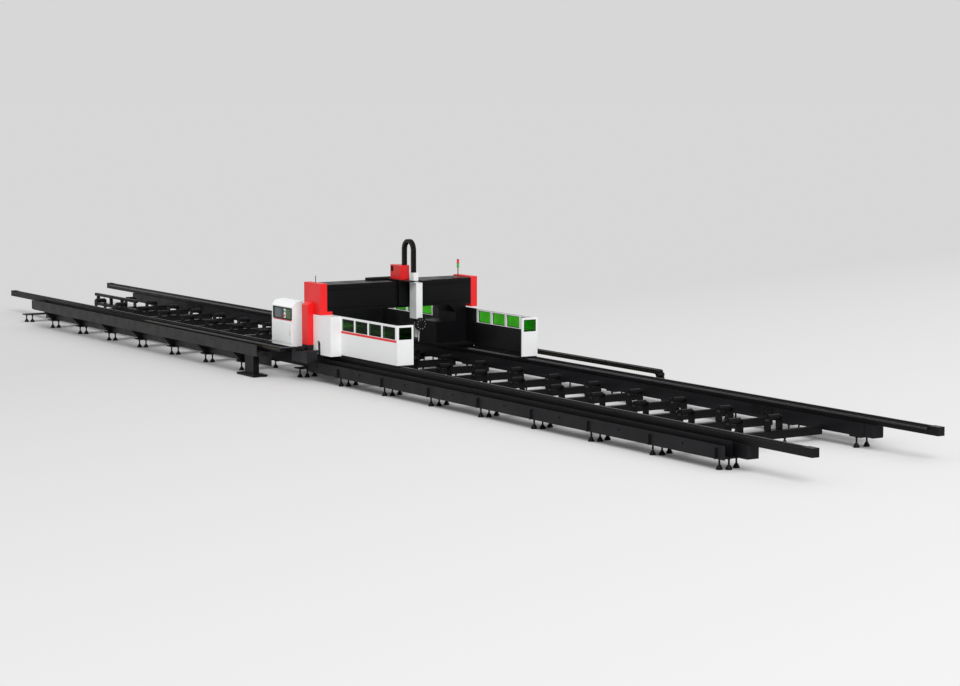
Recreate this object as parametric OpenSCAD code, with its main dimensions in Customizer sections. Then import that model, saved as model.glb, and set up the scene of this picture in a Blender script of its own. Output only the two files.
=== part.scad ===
// Gantry laser cutting machine for long steel sections.
// X runs along the bed, Y across it from the operator's side, Z up from the floor.

/* [Rails] */
// Distance between the centre lines of the two rails
rail_span = 3600; // [3500:10:3800]
// Length of each rail bar
bar_length = 37800; // [36500:100:40000]
// Width of a rail bar
bar_w = 160; // [140:5:180]
// Height of a rail bar
bar_h = 140; // [110:5:160]
// Height of the bars' top face above the floor
bar_top = 630; // [600:5:680]
// Length of each rail beam under its bar
rail_beam_length = 34000; // [33600:100:36000]
// Width of a rail beam
rail_beam_w = 260; // [220:5:300]
// Shift of the rail beams along the bars
rail_beam_shift = 200; // [0:50:400]
// Set-back of the far rail along the machine
far_setback = 700; // [0:50:900]
// How much the near rail is shorter at its left end
near_trim = 300; // [0:50:400]
// Width of a linear guide rail
guide_w = 44; // [36:1:52]
// Height of a linear guide rail
guide_h = 30; // [24:1:36]
// Side of the square gear rack
rack_side = 36; // [24:2:44]
// Length of the stop block at each bar end
stop_l = 260; // [150:10:400]
// Height of the stop block above the bar
stop_h = 26; // [10:2:40]

/* [Feet] */
// Height of the rail beams' underside above the floor
foot_clear = 235; // [200:5:280]
// Thickness of a foot plate
foot_plate_t = 30; // [16:2:40]
// Length of a foot plate along the bed
foot_plate_l = 320; // [240:10:400]
// Distance between two foot plates
station_pitch = 2000; // [1800:50:2050]
// Shift of the foot plates from the middle of the bed
station_shift = 650; // [500:50:800]
// Distance of a foot from its plate's edge
foot_inset = 70; // [65:5:100]
// Cut-off corner of a far foot plate
plate_corner = 70; // [30:5:100]
// Radius of a levelling pad
pad_r = 62; // [40:2:80]
// Thickness of a levelling pad
pad_t = 24; // [12:2:40]
// Radius of a levelling screw
screw_r = 18; // [10:1:26]

/* [Gutter and chain trays] */
// Sheet thickness of the gutter and the trays
sheet_t = 10; // [6:1:14]
// Width of the near gutter, from the rail beam outwards
gutter_w = 280; // [240:10:320]
// Height of the gutter's outer wall
gutter_outer_h = 225; // [180:5:240]
// Height of the gutter's inner wall
gutter_inner_h = 305; // [240:5:320]
// Distance of the gutter's inner wall from its outer wall
gutter_channel = 165; // [120:5:180]
// How far the outer wall hangs below the foot plates' top
gutter_drop = 35; // [10:5:50]
// Where the gutter starts along the bed
gutter_start = 1200; // [800:50:2000]
// Distance of the gutter's end from the rail beam's end
gutter_inset = 300; // [100:50:400]
// Thickness of a rib on the gutter
rib_t = 24; // [12:2:40]
// Depth of a rib on the gutter
rib_d = 40; // [20:2:46]
// Width of a chain tray
tray_w = 400; // [360:10:420]
// Gap from the near rail beam to the near tray
tray_gap = 670; // [660:10:700]
// Height of the near tray's underside above the floor
tray_z = 490; // [470:5:520]
// Height of the near tray's walls
tray_wall_h = 270; // [230:5:275]
// Distance of the near tray's start from the rail beam's end
tray_inset = 2800; // [2200:50:2900]
// Where the near tray ends along the bed
tray_end = 100; // [0:10:200]
// Width of the post under the tray's end
post_w = 450; // [300:10:560]
// Depth of that post
post_d = 150; // [100:10:200]
// Length of the post's base plate
post_base_l = 900; // [700:20:1100]
// Width of the post's base plate
post_base_w = 380; // [300:10:460]
// Height of the far tray's underside above the floor
far_tray_z = 450; // [430:5:460]
// Height of the far tray's walls
far_tray_wall_h = 70; // [40:5:90]
// Gap from the far rail beam to the far tray
far_tray_gap = 120; // [110:10:200]
// Distance of the far tray's end from the rail beam's end
far_tray_inset = 500; // [100:50:700]

/* [Work supports] */
// Distance between two cross beams
cross_pitch = 1500; // [1400:20:1520]
// Distance of the last cross beams from the rail beams' ends
cross_inset = 1000; // [600:50:1200]
// Width of a cross beam
cross_w = 120; // [80:5:160]
// Height of a cross beam
cross_h = 160; // [120:5:180]
// Height of the cross beams' top above the floor
cross_top = 300; // [280:5:330]
// Distance between the two stands on a cross beam
stand_span = 960; // [700:20:1200]
// Length of a stand along the bed
stand_l = 200; // [120:10:240]
// Width of a stand between its outer faces
stand_w = 300; // [200:10:340]
// Plate thickness of a stand
stand_t = 14; // [8:1:20]
// Height of a stand
stand_h = 285; // [240:5:300]
// Radius of a support roller
roller_r = 60; // [40:2:70]
// Radius of a roller's axle
axle_r = 15; // [10:1:20]
// Height of the roller's axle above the stand's foot
axle_z = 255; // [200:5:260]
// Length of the frame at the left end
end_frame_l = 3200; // [2800:50:3400]
// Height of the frame at the left end
end_frame_h = 350; // [240:10:400]
// Side of the tubes of that frame
end_tube = 80; // [50:5:100]

/* [Drag chains] */
// Height of a bed chain link
link_h = 92; // [80:2:98]
// Width of a bed chain
link_w = 180; // [140:10:240]
// Length of a bed chain link
link_pitch = 150; // [100:5:200]
// Bend radius of the bed chains at the middle of the links
bend_r = 98; // [94:1:104]
// Depth of the notch between two links
link_notch = 10; // [4:1:14]
// Width of the notch between two links
link_gap = 14; // [6:1:24]
// Where the near chain bends, at rest
near_bend_x = -6600; // [-7000:50:-6500]
// Where the far chain bends, at rest
far_bend_x = 8930; // [8600:10:9400]
// Height of a carriage chain link
small_link_h = 84; // [70:2:88]
// Width of a carriage chain
small_link_w = 110; // [90:5:120]
// Length of a carriage chain link
small_pitch = 80; // [50:5:100]
// Bend radius of the carriage chain along the beam
y_bend_r = 100; // [90:5:110]
// Width of the carriage chain that lies on the beam
beam_link_w = 62; // [50:2:100]
// Where the beam chain bends, at rest
y_bend_y = -430; // [-460:10:-400]
// Bend radius of the column's chain arch
z_bend_r = 210; // [180:5:230]
// Height of the middle of the column's chain arch
z_bend_z = 3020; // [2950:5:3100]

/* [Gantry] */
// Place of the gantry's middle along the bed
gantry_x = 1230; // [1200:10:1300]
// Depth of the cross beam along the bed
beam_d = 800; // [700:10:840]
// Distance of the beam's front face from the gantry's middle
beam_front = 510; // [480:5:560]
// Height of the beam's underside above the floor
beam_z = 1645; // [1640:5:1680]
// Height of the beam
beam_h = 625; // [560:5:680]
// How far the beam reaches beyond the screens
beam_over = 97; // [60:1:140]
// Side of the beam's linear guide rails
beam_rail = 24; // [18:1:30]
// Distance of the guide rails from the beam's edges
beam_rail_edge = 95; // [70:5:120]
// Thickness of a red end box
end_box_t = 178; // [140:2:200]
// How far an end box reaches above the beam
end_box_over = 30; // [10:5:60]
// How far an end box reaches below the beam
end_box_under = 75; // [60:1:76]
// Depth of the end box's toe under the beam
end_box_toe = 100; // [60:5:120]
// Thickness of a saddle
saddle_t = 40; // [24:2:60]
// Length of a saddle along the bed
saddle_l = 2000; // [1900:20:2100]
// Width of a saddle across the bed
saddle_w = 843; // [700:1:900]
// Height of the guide blocks between bar and saddle
block_h = 66; // [60:1:76]
// Length of a guide block
block_l = 240; // [160:10:300]
// Width of a guide block
block_w = 80; // [70:1:86]
// Distance of the guide blocks from the gantry's middle
block_reach = 750; // [600:10:850]
// Depth of a leg along the bed
leg_d = 780; // [600:10:800]
// Height of a leg's wide foot box
leg_box_h = 510; // [400:10:540]
// Width of a leg's upper column
leg_column_w = 290; // [240:10:320]
// Reach of the gusset beside a leg's column
leg_gusset = 190; // [100:10:220]
// Running clearance between sliding pieces
slide_clear = 0.5; // [0.3:0.1:0.9]

/* [Screens] */
// Distance of the screens' outer face from the rail's centre line
screen_out = 83; // [80:1:90]
// Thickness of a screen wall
screen_t = 40; // [30:1:44]
// Height of the screens' top above the floor
screen_top = 1565; // [1550:5:1570]
// Reach of the leg covers behind the gantry's middle
cover_back = 1040; // [1030:5:1080]
// Reach of the leg covers in front of the gantry's middle
cover_front = 990; // [970:5:1000]
// Height of the near leg cover's lower edge above the floor
cover_low = 640; // [636:1:660]
// Length of a screen beyond the leg cover
screen_l = 2566; // [2530:4:2610]
// Length of the far screen behind the gantry
rear_screen_l = 2516; // [2500:4:2560]
// Depth of the return panel at a screen's end
return_d = 427; // [380:1:460]
// Width of a window
window_w = 546; // [500:2:560]
// Height of a window
window_h = 275; // [240:5:290]
// Distance between two windows
window_pitch = 624; // [610:1:628]
// Height of the windows' lower edge above the floor
window_z = 1245; // [1200:5:1260]
// Distance of the first window from the leg cover
window_edge = 62; // [40:1:70]
// Width of the window in a return panel
return_window_w = 330; // [260:2:340]
// Thickness of a pane
pane_t = 8; // [5:1:12]
// Depth of a pane behind its screen's outer face
pane_in = 5; // [2:1:10]
// Reach of the far rear screen's cross panel
rear_panel_w = 1280; // [1000:10:1300]
// Height of the cross panel's inner end above the floor
rear_panel_low = 1100; // [1000:10:1200]

/* [Console] */
// Width of the console
console_w = 1040; // [960:10:1080]
// Depth of the console
console_d = 300; // [240:10:320]
// Height of the console's foot above the floor
console_z = 720; // [715:1:735]
// Height of the console's front face
console_front_h = 935; // [910:5:980]
// Height of the console's back
console_back_h = 1080; // [1060:5:1150]
// Height where the console's front slope ends
console_slope_h = 1050; // [1000:5:1060]
// Depth of the console's front slope
console_slope_d = 95; // [60:5:140]
// Distance of the console's front face from the screens' outer face
console_out = 367; // [350:1:400]
// Place of the console's middle along the bed
console_x = -15; // [-60:5:0]
// Thickness of the console's door and panel
door_t = 14; // [8:1:20]
// Height of the door's lower edge above the console's foot
door_low = 80; // [75:5:110]
// Height of the door
door_h = 480; // [400:10:490]
// Width of the door
door_w = 1000; // [900:10:1020]
// Width of the control panel
panel_w = 910; // [860:10:940]
// Height of the control panel
panel_h = 256; // [240:2:260]
// Height of the panel's lower edge above the console's foot
panel_low = 645; // [630:1:650]
// Shift of the control panel from the console's middle
panel_shift = 35; // [0:5:50]
// Distance of the screen glass from the panel's edge
display_edge = 100; // [40:5:110]
// Distance of the buttons from the panel's middle
button_shift = 128; // [120:1:150]
// Width of the screen glass
display_w = 395; // [360:5:410]
// Height of the screen glass
display_h = 225; // [200:5:232]
// Thickness of the screen glass
display_t = 6; // [3:1:10]
// Radius of a push button
button_r = 24; // [18:1:30]
// Travel of a push button
button_travel = 6; // [3:1:8]

/* [Carriage and head] */
// Place of the column's middle across the bed
carriage_y = 250; // [230:5:270]
// Width of the carriage across the bed
carriage_w = 660; // [620:10:700]
// Thickness of the carriage plate
carriage_t = 40; // [24:2:46]
// Height of the carriage plate's lower edge above the beam's underside
carriage_low = 45; // [35:5:50]
// Thickness of the carriage's top plate
top_plate_t = 22; // [16:1:30]
// Gap between the beam's top and the top plate
top_plate_gap = 14; // [8:1:24]
// Depth of the column along the bed
column_d = 300; // [270:5:305]
// Width of the column across the bed
column_w = 170; // [150:2:174]
// Length of the column
column_l = 1090; // [1060:10:1140]
// Height of the column's lower end above the floor
column_z = 1400; // [1390:5:1420]
// Reach of the column's guide in front of the carriage plate
column_guide = 85; // [70:5:100]
// Height of the column's guide
column_guide_h = 420; // [300:10:440]
// Depth of the column's slimmer top along the bed
column_top_d = 190; // [150:5:220]
// Width of the column's slimmer top
column_top_w = 130; // [112:2:150]
// Depth of the red drive box along the bed
drive_box_d = 480; // [420:10:484]
// Width of the red drive box
drive_box_w = 240; // [200:10:260]
// Height of the red drive box
drive_box_h = 336; // [300:4:380]
// Radius of the rotary collar under the column
collar_r = 80; // [60:1:82]
// Height of the rotary collar
collar_h = 60; // [40:2:80]
// Radius of the tilt housing
tilt_r = 155; // [130:1:158]
// Width of the tilt housing
tilt_w = 60; // [50:2:66]
// Drop of the tilt axis below the column
tilt_drop = 125; // [122:1:140]
// Radius of the cutting head's body
head_r = 48; // [40:1:50]
// Length of the cutting head below the tilt axis
head_l = 320; // [280:5:330]
// Radius of the slim cutting tube beside the body
tube_r = 28; // [22:1:30]
// Length of the nozzle
nozzle_l = 180; // [140:5:190]

/* [Lamps] */
// Height of the stack light's pole
pole_h = 240; // [150:10:300]
// Radius of the stack light's pole
pole_r = 12; // [8:1:18]
// Radius of a lamp
lamp_r = 30; // [20:1:40]
// Height of a lamp
lamp_h = 96; // [60:2:120]
// Length of the signal rod
rod_h = 165; // [100:5:240]

/* [Hidden] */
near_y = -rail_span / 2;
far_y = rail_span / 2;
bar_z = bar_top - bar_h;
rail_beam_side = rail_span / 2 + rail_beam_w / 2;
rail_beam_inner = rail_span / 2 - rail_beam_w / 2;
guide_top = bar_top + guide_h;
curve_clear = 0.3;
saddle_z = bar_top + block_h + 4;
saddle_top = saddle_z + saddle_t;
screen_y = rail_span / 2 + screen_out;
screen_in = screen_y - screen_t;
console_y = screen_y + console_out;
screen_z = guide_top + 10;
beam_x1 = gantry_x + beam_front;
beam_x0 = beam_x1 - beam_d;
beam_top = beam_z + beam_h;
beam_half = screen_y + beam_over;
end_box_y = beam_half + end_box_t;
gutter_y = -rail_beam_side - gutter_w;
tray_in = -rail_beam_side - tray_gap;
tray_out = tray_in - tray_w;
tray_floor = tray_z + sheet_t;
near_chain_y = (tray_in + tray_out) / 2;
far_tray_in = rail_beam_side + far_tray_gap;
far_tray_floor = far_tray_z + sheet_t;
far_chain_y = far_tray_in + tray_w / 2;
far_plate_y = rail_beam_inner - sheet_t;
far_beam_x = rail_beam_shift - far_setback;
bar_runs = [
    [near_y, near_trim - bar_length / 2, bar_length / 2],
    [far_y, -far_setback - bar_length / 2, bar_length / 2 - far_setback]
];
near_beam_x0 = rail_beam_shift - rail_beam_length / 2;
near_beam_x1 = rail_beam_shift + rail_beam_length / 2;
gutter_end = near_beam_x1 - gutter_inset;
tray_start = near_beam_x0 + tray_inset;
far_tray_length = far_beam_x + rail_beam_length / 2 - far_tray_inset;
station_reach = rail_beam_length / 2 - abs(station_shift - rail_beam_shift) - foot_plate_l / 2;
stations = 2 * floor(station_reach / station_pitch) + 1;
cross_reach = rail_beam_length / 2 - abs(far_beam_x) - cross_inset;
cross_count = 2 * floor(cross_reach / cross_pitch) + 1;
far_plate_x0 = far_beam_x - rail_beam_length / 2 + 900;
far_plate_x1 = far_beam_x + rail_beam_length / 2 - 250;
duct_w = 150;
duct_l = 285;
duct_x = beam_x0 + 160;
duct_z = 850;
duct_top = 1850;
arm_w = 160;
arm_x = gantry_x - arm_w - 50;
near_arm_x = gantry_x + 320;
bracket_l = 740;
bracket_low = 460;
bracket_x = gantry_x - 215;
bracket_in = gutter_y - rib_d - 10;
bracket_out = tray_in + 60;
tongue_t = 40;
tongue_x = bracket_x;
tongue_l = 140;
slot_z = saddle_top + 135;
near_run_z = tray_floor + link_h / 2 + curve_clear;
near_top_z = near_run_z + 2 * bend_r;
far_run_z = far_tray_floor + link_h / 2 + curve_clear;
far_top_z = far_run_z + 2 * bend_r;
top_plate_z = beam_top + top_plate_gap;
top_plate_top = top_plate_z + top_plate_t;
carriage_x = beam_x1 + beam_rail + 11;
column_x0 = carriage_x + carriage_t + column_guide + curve_clear;
column_x1 = column_x0 + column_d;
column_xm = (column_x0 + column_x1) / 2;
column_top = column_z + column_l;
drive_box_x1 = beam_x1 - 20;
drive_box_y = carriage_y - 110;
drive_box_top = top_plate_top + drive_box_h;
z_chain_y = carriage_y - 70;
z_leg_x = column_xm - 2 * z_bend_r;
y_chain_z = beam_top + beam_link_w / 2;
y_fixed_x = beam_x0 + 50;
y_moving_x = y_fixed_x + 2 * y_bend_r;
y_fixed_end = 300;
top_plate_x0 = y_moving_x + small_link_h / 2 + 8;
chain_arm_y = carriage_y + carriage_w / 2 - 50;
tilt_z = column_z - tilt_drop;
tilt_x = column_xm + norm([column_d, column_w]) / 2 + 4;
tube_x = column_xm + 110;
tube_z = tilt_z - 240;
console_x0 = console_x - console_w / 2;
shelf_x1 = gantry_x - cover_back - 40;
panel_x = console_x + panel_shift;
stem_r = button_r * 0.6;
lamp_x = beam_x1 - 140;
lamp_y = beam_half - 280;
$fn = 48;

paint_black = [0.10, 0.10, 0.11];
paint_grey = [0.23, 0.24, 0.26];
paint_red = [0.86, 0.14, 0.14];
paint_white = [0.92, 0.92, 0.93];
glass_green = [0.12, 0.42, 0.14, 0.6];
steel = [0.62, 0.63, 0.65];

// A box from its lowest to its highest corner.
module span(x, y, z) {
    translate([x[0], y[0], z[0]])
        cube([x[1] - x[0], y[1] - y[0], z[1] - z[0]]);
}

// A profile drawn in Y and Z, drawn out along X.
module along_x(x0, x1, points) {
    translate([x0, 0, 0])
        rotate([90, 0, 90])
            linear_extrude(x1 - x0)
                polygon(points);
}

// The same thing on the far side, seen from the middle of the bed.
module both_sides() {
    children();
    mirror([0, 1, 0])
        children();
}

// Places of the foot plates along one rail.
function station_x(i, shift) = shift + (i - (stations - 1) / 2) * station_pitch;

// Places of the cross beams along the bed.
function cross_x(i) = (i - (cross_count - 1) / 2) * cross_pitch;

// Whether a cross beam ends on the far beam's plate.
function on_far_plate(x) = x - cross_w / 2 > far_plate_x0 && x + cross_w / 2 < far_plate_x1;

// Whether a foot plate stands under the near tray.
function under_tray(x) = x < tray_end;

// Outer end of a near foot plate.
function near_plate_end(x) = under_tray(x) ? tray_in - 140 : gutter_y + sheet_t;

// Side outline of a straight run of links, notched where two links meet.
function run_edge(length, pitch, half, notch, gap) = [
    for (i = [1 : ceil(length / pitch) - 1])
        for (p = [[-gap / 2, half], [-gap / 2, half - notch], [gap / 2, half - notch], [gap / 2, half]])
            [i * pitch + p[0], p[1]]
];
function reversed(points) = [for (i = [len(points) - 1 : -1 : 0]) points[i]];
function mirrored(points) = [for (p = points) [p[0], -p[1]]];
function run_outline(length, pitch, half, notch, gap) = concat(
    [[0, half]], run_edge(length, pitch, half, notch, gap), [[length, half]],
    [[length, -half]], reversed(mirrored(run_edge(length, pitch, half, notch, gap))), [[0, -half]]
);

// A straight run of links along +X, in the middle of its height and width.
module chain_run(length, pitch, height, width) {
    rotate([90, 0, 0])
        linear_extrude(width, center = true)
            polygon(run_outline(length, pitch, height / 2, link_notch, link_gap));
}

// Half of a bend about the Y axis, starting where the run along X ends.
module chain_bend(radius, height, width, start) {
    rotate([90, 0, 0])
        rotate([0, 0, start])
            rotate_extrude(angle = 90)
                translate([radius, 0])
                    square([height, width], center = true);
}

module rail_beams() {
    color(paint_grey) {
        for (side = [[near_y, 0], [far_y, -far_setback]])
            translate([rail_beam_shift + side[1], side[0], foot_clear])
                translate([-rail_beam_length / 2, -rail_beam_w / 2, 0])
                    cube([rail_beam_length, rail_beam_w, bar_z - foot_clear]);
        span([far_plate_x0, far_plate_x1], [far_plate_y, rail_beam_inner], [foot_clear, bar_z]);
    }
}

module rail_bars() {
    color(paint_black)
        for (run = bar_runs)
            translate([0, run[0], 0]) {
                span([run[1], run[2]], [-bar_w / 2, bar_w / 2], [bar_z, bar_top]);
                for (x = [run[1], run[2] - stop_l])
                    span([x, x + stop_l], [-bar_w / 2, bar_w / 2], [bar_top, bar_top + stop_h]);
            }
}

module guide_rails() {
    color(steel)
        for (run = bar_runs)
            span([run[1] + stop_l, run[2] - stop_l], [run[0] - guide_w / 2, run[0] + guide_w / 2],
                 [bar_top, guide_top]);
}

module racks() {
    color(steel)
        for (run = bar_runs) {
            y = run[0] > 0 ? run[0] - bar_w / 2 - rack_side : run[0] + bar_w / 2;
            span([run[1] + stop_l, run[2] - stop_l], [y, y + rack_side],
                 [bar_top - rack_side - 10, bar_top - 10]);
        }
}

module near_gutter() {
    floor_z = foot_clear;
    inner = gutter_y + gutter_channel;
    color(paint_grey) {
        along_x(gutter_start, gutter_end, [
            [gutter_y, floor_z - gutter_drop], [gutter_y + sheet_t, floor_z - gutter_drop],
            [gutter_y + sheet_t, floor_z], [-rail_beam_side, floor_z],
            [-rail_beam_side, floor_z + sheet_t], [inner + sheet_t, floor_z + sheet_t],
            [inner + sheet_t, floor_z + gutter_inner_h], [inner, floor_z + gutter_inner_h],
            [inner, floor_z + sheet_t], [gutter_y + sheet_t, floor_z + sheet_t],
            [gutter_y + sheet_t, floor_z + gutter_outer_h], [gutter_y, floor_z + gutter_outer_h]
        ]);
        for (i = [0 : stations - 1])
            if (station_x(i, station_shift) > gutter_start + rib_t)
                translate([station_x(i, station_shift) - rib_t / 2, gutter_y - rib_d, floor_z - gutter_drop])
                    cube([rib_t, rib_d, gutter_outer_h - 20]);
    }
}

module chain_tray() {
    wall_top = tray_z + tray_wall_h;
    color(paint_grey) {
        along_x(tray_start, tray_end, [
            [tray_out, tray_z], [tray_in - sheet_t, tray_z], [tray_in - sheet_t, foot_clear],
            [tray_in, foot_clear], [tray_in, wall_top], [tray_in - sheet_t, wall_top],
            [tray_in - sheet_t, tray_floor], [tray_out + sheet_t, tray_floor],
            [tray_out + sheet_t, wall_top], [tray_out, wall_top]
        ]);
        span([tray_start, tray_start + sheet_t], [tray_out, tray_in], [tray_z, wall_top]);
        span([tray_end - sheet_t, tray_end], [tray_out, tray_in], [tray_z, tray_floor + link_h]);
        for (i = [0 : stations - 1]) {
            x = station_x(i, station_shift);
            if (x > tray_start + rib_t && x < tray_end - rib_t)
                along_x(x - rib_t / 2, x + rib_t / 2, [
                    [tray_in - sheet_t, foot_clear], [tray_in - 90, foot_clear],
                    [tray_out + 60, tray_z], [tray_in - sheet_t, tray_z]
                ]);
        }
    }
}

module tray_post() {
    x1 = tray_end - 170;
    color(paint_grey) {
        span([x1 - post_w, x1], [tray_out, tray_out + post_d], [pad_t + foot_plate_t, tray_z]);
        span([x1 - (post_w + post_base_l) / 2, x1 - (post_w - post_base_l) / 2],
             [tray_out + (post_d - post_base_w) / 2, tray_out + (post_d + post_base_w) / 2],
             [pad_t, pad_t + foot_plate_t]);
    }
}

module far_chain_tray() {
    out = far_tray_in + tray_w;
    color(paint_grey) {
        along_x(0, far_tray_length, [
            [far_tray_in, far_tray_z], [out, far_tray_z], [out, far_tray_z + far_tray_wall_h],
            [out - sheet_t, far_tray_z + far_tray_wall_h], [out - sheet_t, far_tray_floor],
            [far_tray_in + sheet_t, far_tray_floor], [far_tray_in + sheet_t, far_tray_z + far_tray_wall_h],
            [far_tray_in, far_tray_z + far_tray_wall_h]
        ]);
        for (i = [0 : stations - 1])
            if (station_x(i, 0) > rib_t && station_x(i, 0) < far_tray_length - foot_plate_l)
                span([station_x(i, 0) - 40, station_x(i, 0) + 40], [rail_beam_side, out],
                     [far_tray_z - foot_plate_t, far_tray_z]);
    }
}

module cross_beams() {
    color(paint_black)
        for (i = [0 : cross_count - 1])
            span([cross_x(i) - cross_w / 2, cross_x(i) + cross_w / 2],
                 [-rail_beam_inner, on_far_plate(cross_x(i)) ? far_plate_y : rail_beam_inner],
                 [cross_top - cross_h, cross_top]);
}

module stand() {
    difference() {
        translate([-stand_l / 2, 0, 0])
            along_x(0, stand_l, [
                [-stand_w / 2, 0], [stand_w / 2, 0], [stand_w / 2, stand_h], [stand_w / 2 - stand_t, stand_h],
                [stand_w / 2 - stand_t, stand_t], [stand_t - stand_w / 2, stand_t],
                [stand_t - stand_w / 2, stand_h], [-stand_w / 2, stand_h]
            ]);
        translate([0, 0, axle_z])
            rotate([90, 0, 0])
                cylinder(r = axle_r + curve_clear, h = stand_w + 2, center = true);
    }
}

module each_stand() {
    for (i = [0 : cross_count - 1])
        for (side = [-1, 1])
            translate([cross_x(i), side * stand_span / 2, cross_top])
                children();
}

module roller_stands() {
    color(paint_black)
        each_stand()
            stand();
}

module support_rollers() {
    color(steel)
        each_stand()
            translate([0, 0, axle_z])
                rotate([90, 0, 0]) {
                    cylinder(r = roller_r, h = stand_w - 2 * stand_t - 2, center = true);
                    cylinder(r = axle_r, h = stand_w, center = true);
                }
}

module end_frame() {
    x1 = cross_x(1) + 300;
    x0 = x1 - end_frame_l;
    color(paint_black) {
        span([x0, x1], [-end_tube, end_tube], [cross_top, cross_top + end_tube]);
        for (share = [0, 0.3, 0.55])
            translate([x0 + 80 + share * end_frame_l, -end_tube / 2, cross_top + end_tube])
                cube([end_tube, end_tube, end_frame_h - 2 * end_tube]);
        span([x0 - 60, x1 - 250], [-end_tube / 2, end_tube / 2],
             [cross_top + end_frame_h - end_tube, cross_top + end_frame_h]);
    }
}

module foot_plates() {
    color(paint_black)
        for (i = [0 : stations - 1]) {
            x = station_x(i, station_shift);
            span([x - foot_plate_l / 2, x + foot_plate_l / 2], [near_plate_end(x), -rail_beam_inner],
                 [foot_clear - foot_plate_t, foot_clear]);
            translate([station_x(i, 0), far_y, foot_clear - foot_plate_t])
                linear_extrude(foot_plate_t)
                    polygon([
                        [-foot_plate_l / 2, -rail_beam_w / 2 - sheet_t],
                        [foot_plate_l / 2, -rail_beam_w / 2 - sheet_t],
                        [foot_plate_l / 2, rail_beam_w / 2],
                        [foot_plate_l / 2 - plate_corner, rail_beam_w / 2 + plate_corner],
                        [plate_corner - foot_plate_l / 2, rail_beam_w / 2 + plate_corner],
                        [-foot_plate_l / 2, rail_beam_w / 2]
                    ]);
        }
}

module foot(x, y, height) {
    translate([x, y, 0]) {
        cylinder(r = pad_r, h = pad_t);
        cylinder(r = screw_r, h = height);
    }
}

module levelling_feet() {
    plate_low = foot_clear - foot_plate_t;
    x1 = tray_end - 170;
    color(steel) {
        for (i = [0 : stations - 1]) {
            x = station_x(i, station_shift);
            foot(x, near_plate_end(x) + foot_inset, plate_low);
            foot(x, -rail_beam_inner - foot_inset, plate_low);
            foot(station_x(i, 0), rail_beam_inner + foot_inset / 2, plate_low);
            foot(station_x(i, 0), rail_beam_side + plate_corner / 2, plate_low);
        }
        for (i = [0 : cross_count - 1])
            for (side = [-1, 1])
                foot(cross_x(i), side * stand_span * 0.8, cross_top - cross_h);
        for (end = [-1, 1])
            for (side = [-1, 1])
                foot(x1 - post_w / 2 + end * (post_base_l / 2 - pad_r),
                     tray_out + post_d / 2 + side * (post_base_w / 2 - pad_r), pad_t);
    }
}

module near_chain_fixed() {
    color(paint_black)
        translate([near_bend_x, near_chain_y, near_run_z])
            chain_run(tray_end - sheet_t - near_bend_x, link_pitch, link_h, link_w);
}

module far_chain_fixed() {
    color(paint_black)
        translate([0, far_chain_y, far_run_z])
            chain_run(far_bend_x, link_pitch, link_h, link_w);
}

module near_bend_lower() {
    color(paint_black)
        translate([near_bend_x, near_chain_y, near_run_z + bend_r])
            chain_bend(bend_r, link_h, link_w, 180);
}

module near_bend_upper() {
    color(paint_black)
        translate([near_bend_x, near_chain_y, near_run_z + bend_r])
            chain_bend(bend_r, link_h, link_w, 90);
}

module far_bend_lower() {
    color(paint_black)
        translate([far_bend_x, far_chain_y, far_run_z + bend_r])
            chain_bend(bend_r, link_h, link_w, 270);
}

module far_bend_upper() {
    color(paint_black)
        translate([far_bend_x, far_chain_y, far_run_z + bend_r])
            chain_bend(bend_r, link_h, link_w, 0);
}

module near_chain_moving() {
    color(paint_black)
        translate([near_bend_x, near_chain_y, near_top_z])
            chain_run(tongue_x - near_bend_x, link_pitch, link_h, link_w);
}

module far_chain_moving() {
    color(paint_black)
        translate([arm_x + arm_w, far_chain_y, far_top_z])
            chain_run(far_bend_x - arm_x - arm_w, link_pitch, link_h, link_w);
}

module saddles() {
    color(paint_black) {
        span([console_x0 - 60, gantry_x + saddle_l / 2], [-screen_in, saddle_w - screen_in],
             [saddle_z, saddle_top]);
        span([gantry_x - saddle_l / 2, gantry_x + saddle_l / 2], [screen_in - saddle_w, screen_in],
             [saddle_z, saddle_top]);
    }
}

module guide_block() {
    difference() {
        translate([-block_l / 2, -block_w / 2, bar_top + 4])
            cube([block_l, block_w, block_h]);
        translate([-block_l / 2 - 1, -guide_w / 2 - slide_clear, bar_top])
            cube([block_l + 2, guide_w + 2 * slide_clear, guide_h + slide_clear]);
    }
}

module guide_blocks() {
    color(steel)
        for (y = [near_y, far_y])
            for (end = [-1, 1])
                translate([gantry_x + end * block_reach, y, 0])
                    guide_block();
}

module legs() {
    column_in = screen_in - leg_column_w;
    box_in = screen_in - saddle_w;
    color(paint_black)
        both_sides()
            along_x(beam_x0 + 10, beam_x0 + 10 + leg_d, [
                [screen_in, saddle_top], [box_in, saddle_top], [box_in, saddle_top + leg_box_h],
                [column_in, saddle_top + leg_box_h], [column_in, beam_z - leg_gusset],
                [column_in - leg_gusset, beam_z], [screen_in, beam_z]
            ]);
}

module gantry_beam() {
    color(paint_black)
        span([beam_x0, beam_x1], [-beam_half, beam_half], [beam_z, beam_top]);
}

module beam_rails() {
    color(steel)
        for (z = [beam_z + beam_rail_edge, beam_top - beam_rail_edge])
            span([beam_x1, beam_x1 + beam_rail], [-beam_half + 30, beam_half - 30],
                 [z - beam_rail / 2, z + beam_rail / 2]);
}

module end_boxes() {
    low = beam_z - end_box_under;
    high = beam_top + end_box_over;
    color(paint_red) {
        along_x(beam_x0, beam_x1, [
            [-beam_half, beam_z], [-beam_half, high], [-end_box_y, high], [-end_box_y, low],
            [-screen_in - curve_clear, low], [-screen_in - curve_clear, beam_z]
        ]);
        span([beam_x0, beam_x1], [beam_half, end_box_y], [low, high]);
    }
}

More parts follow.
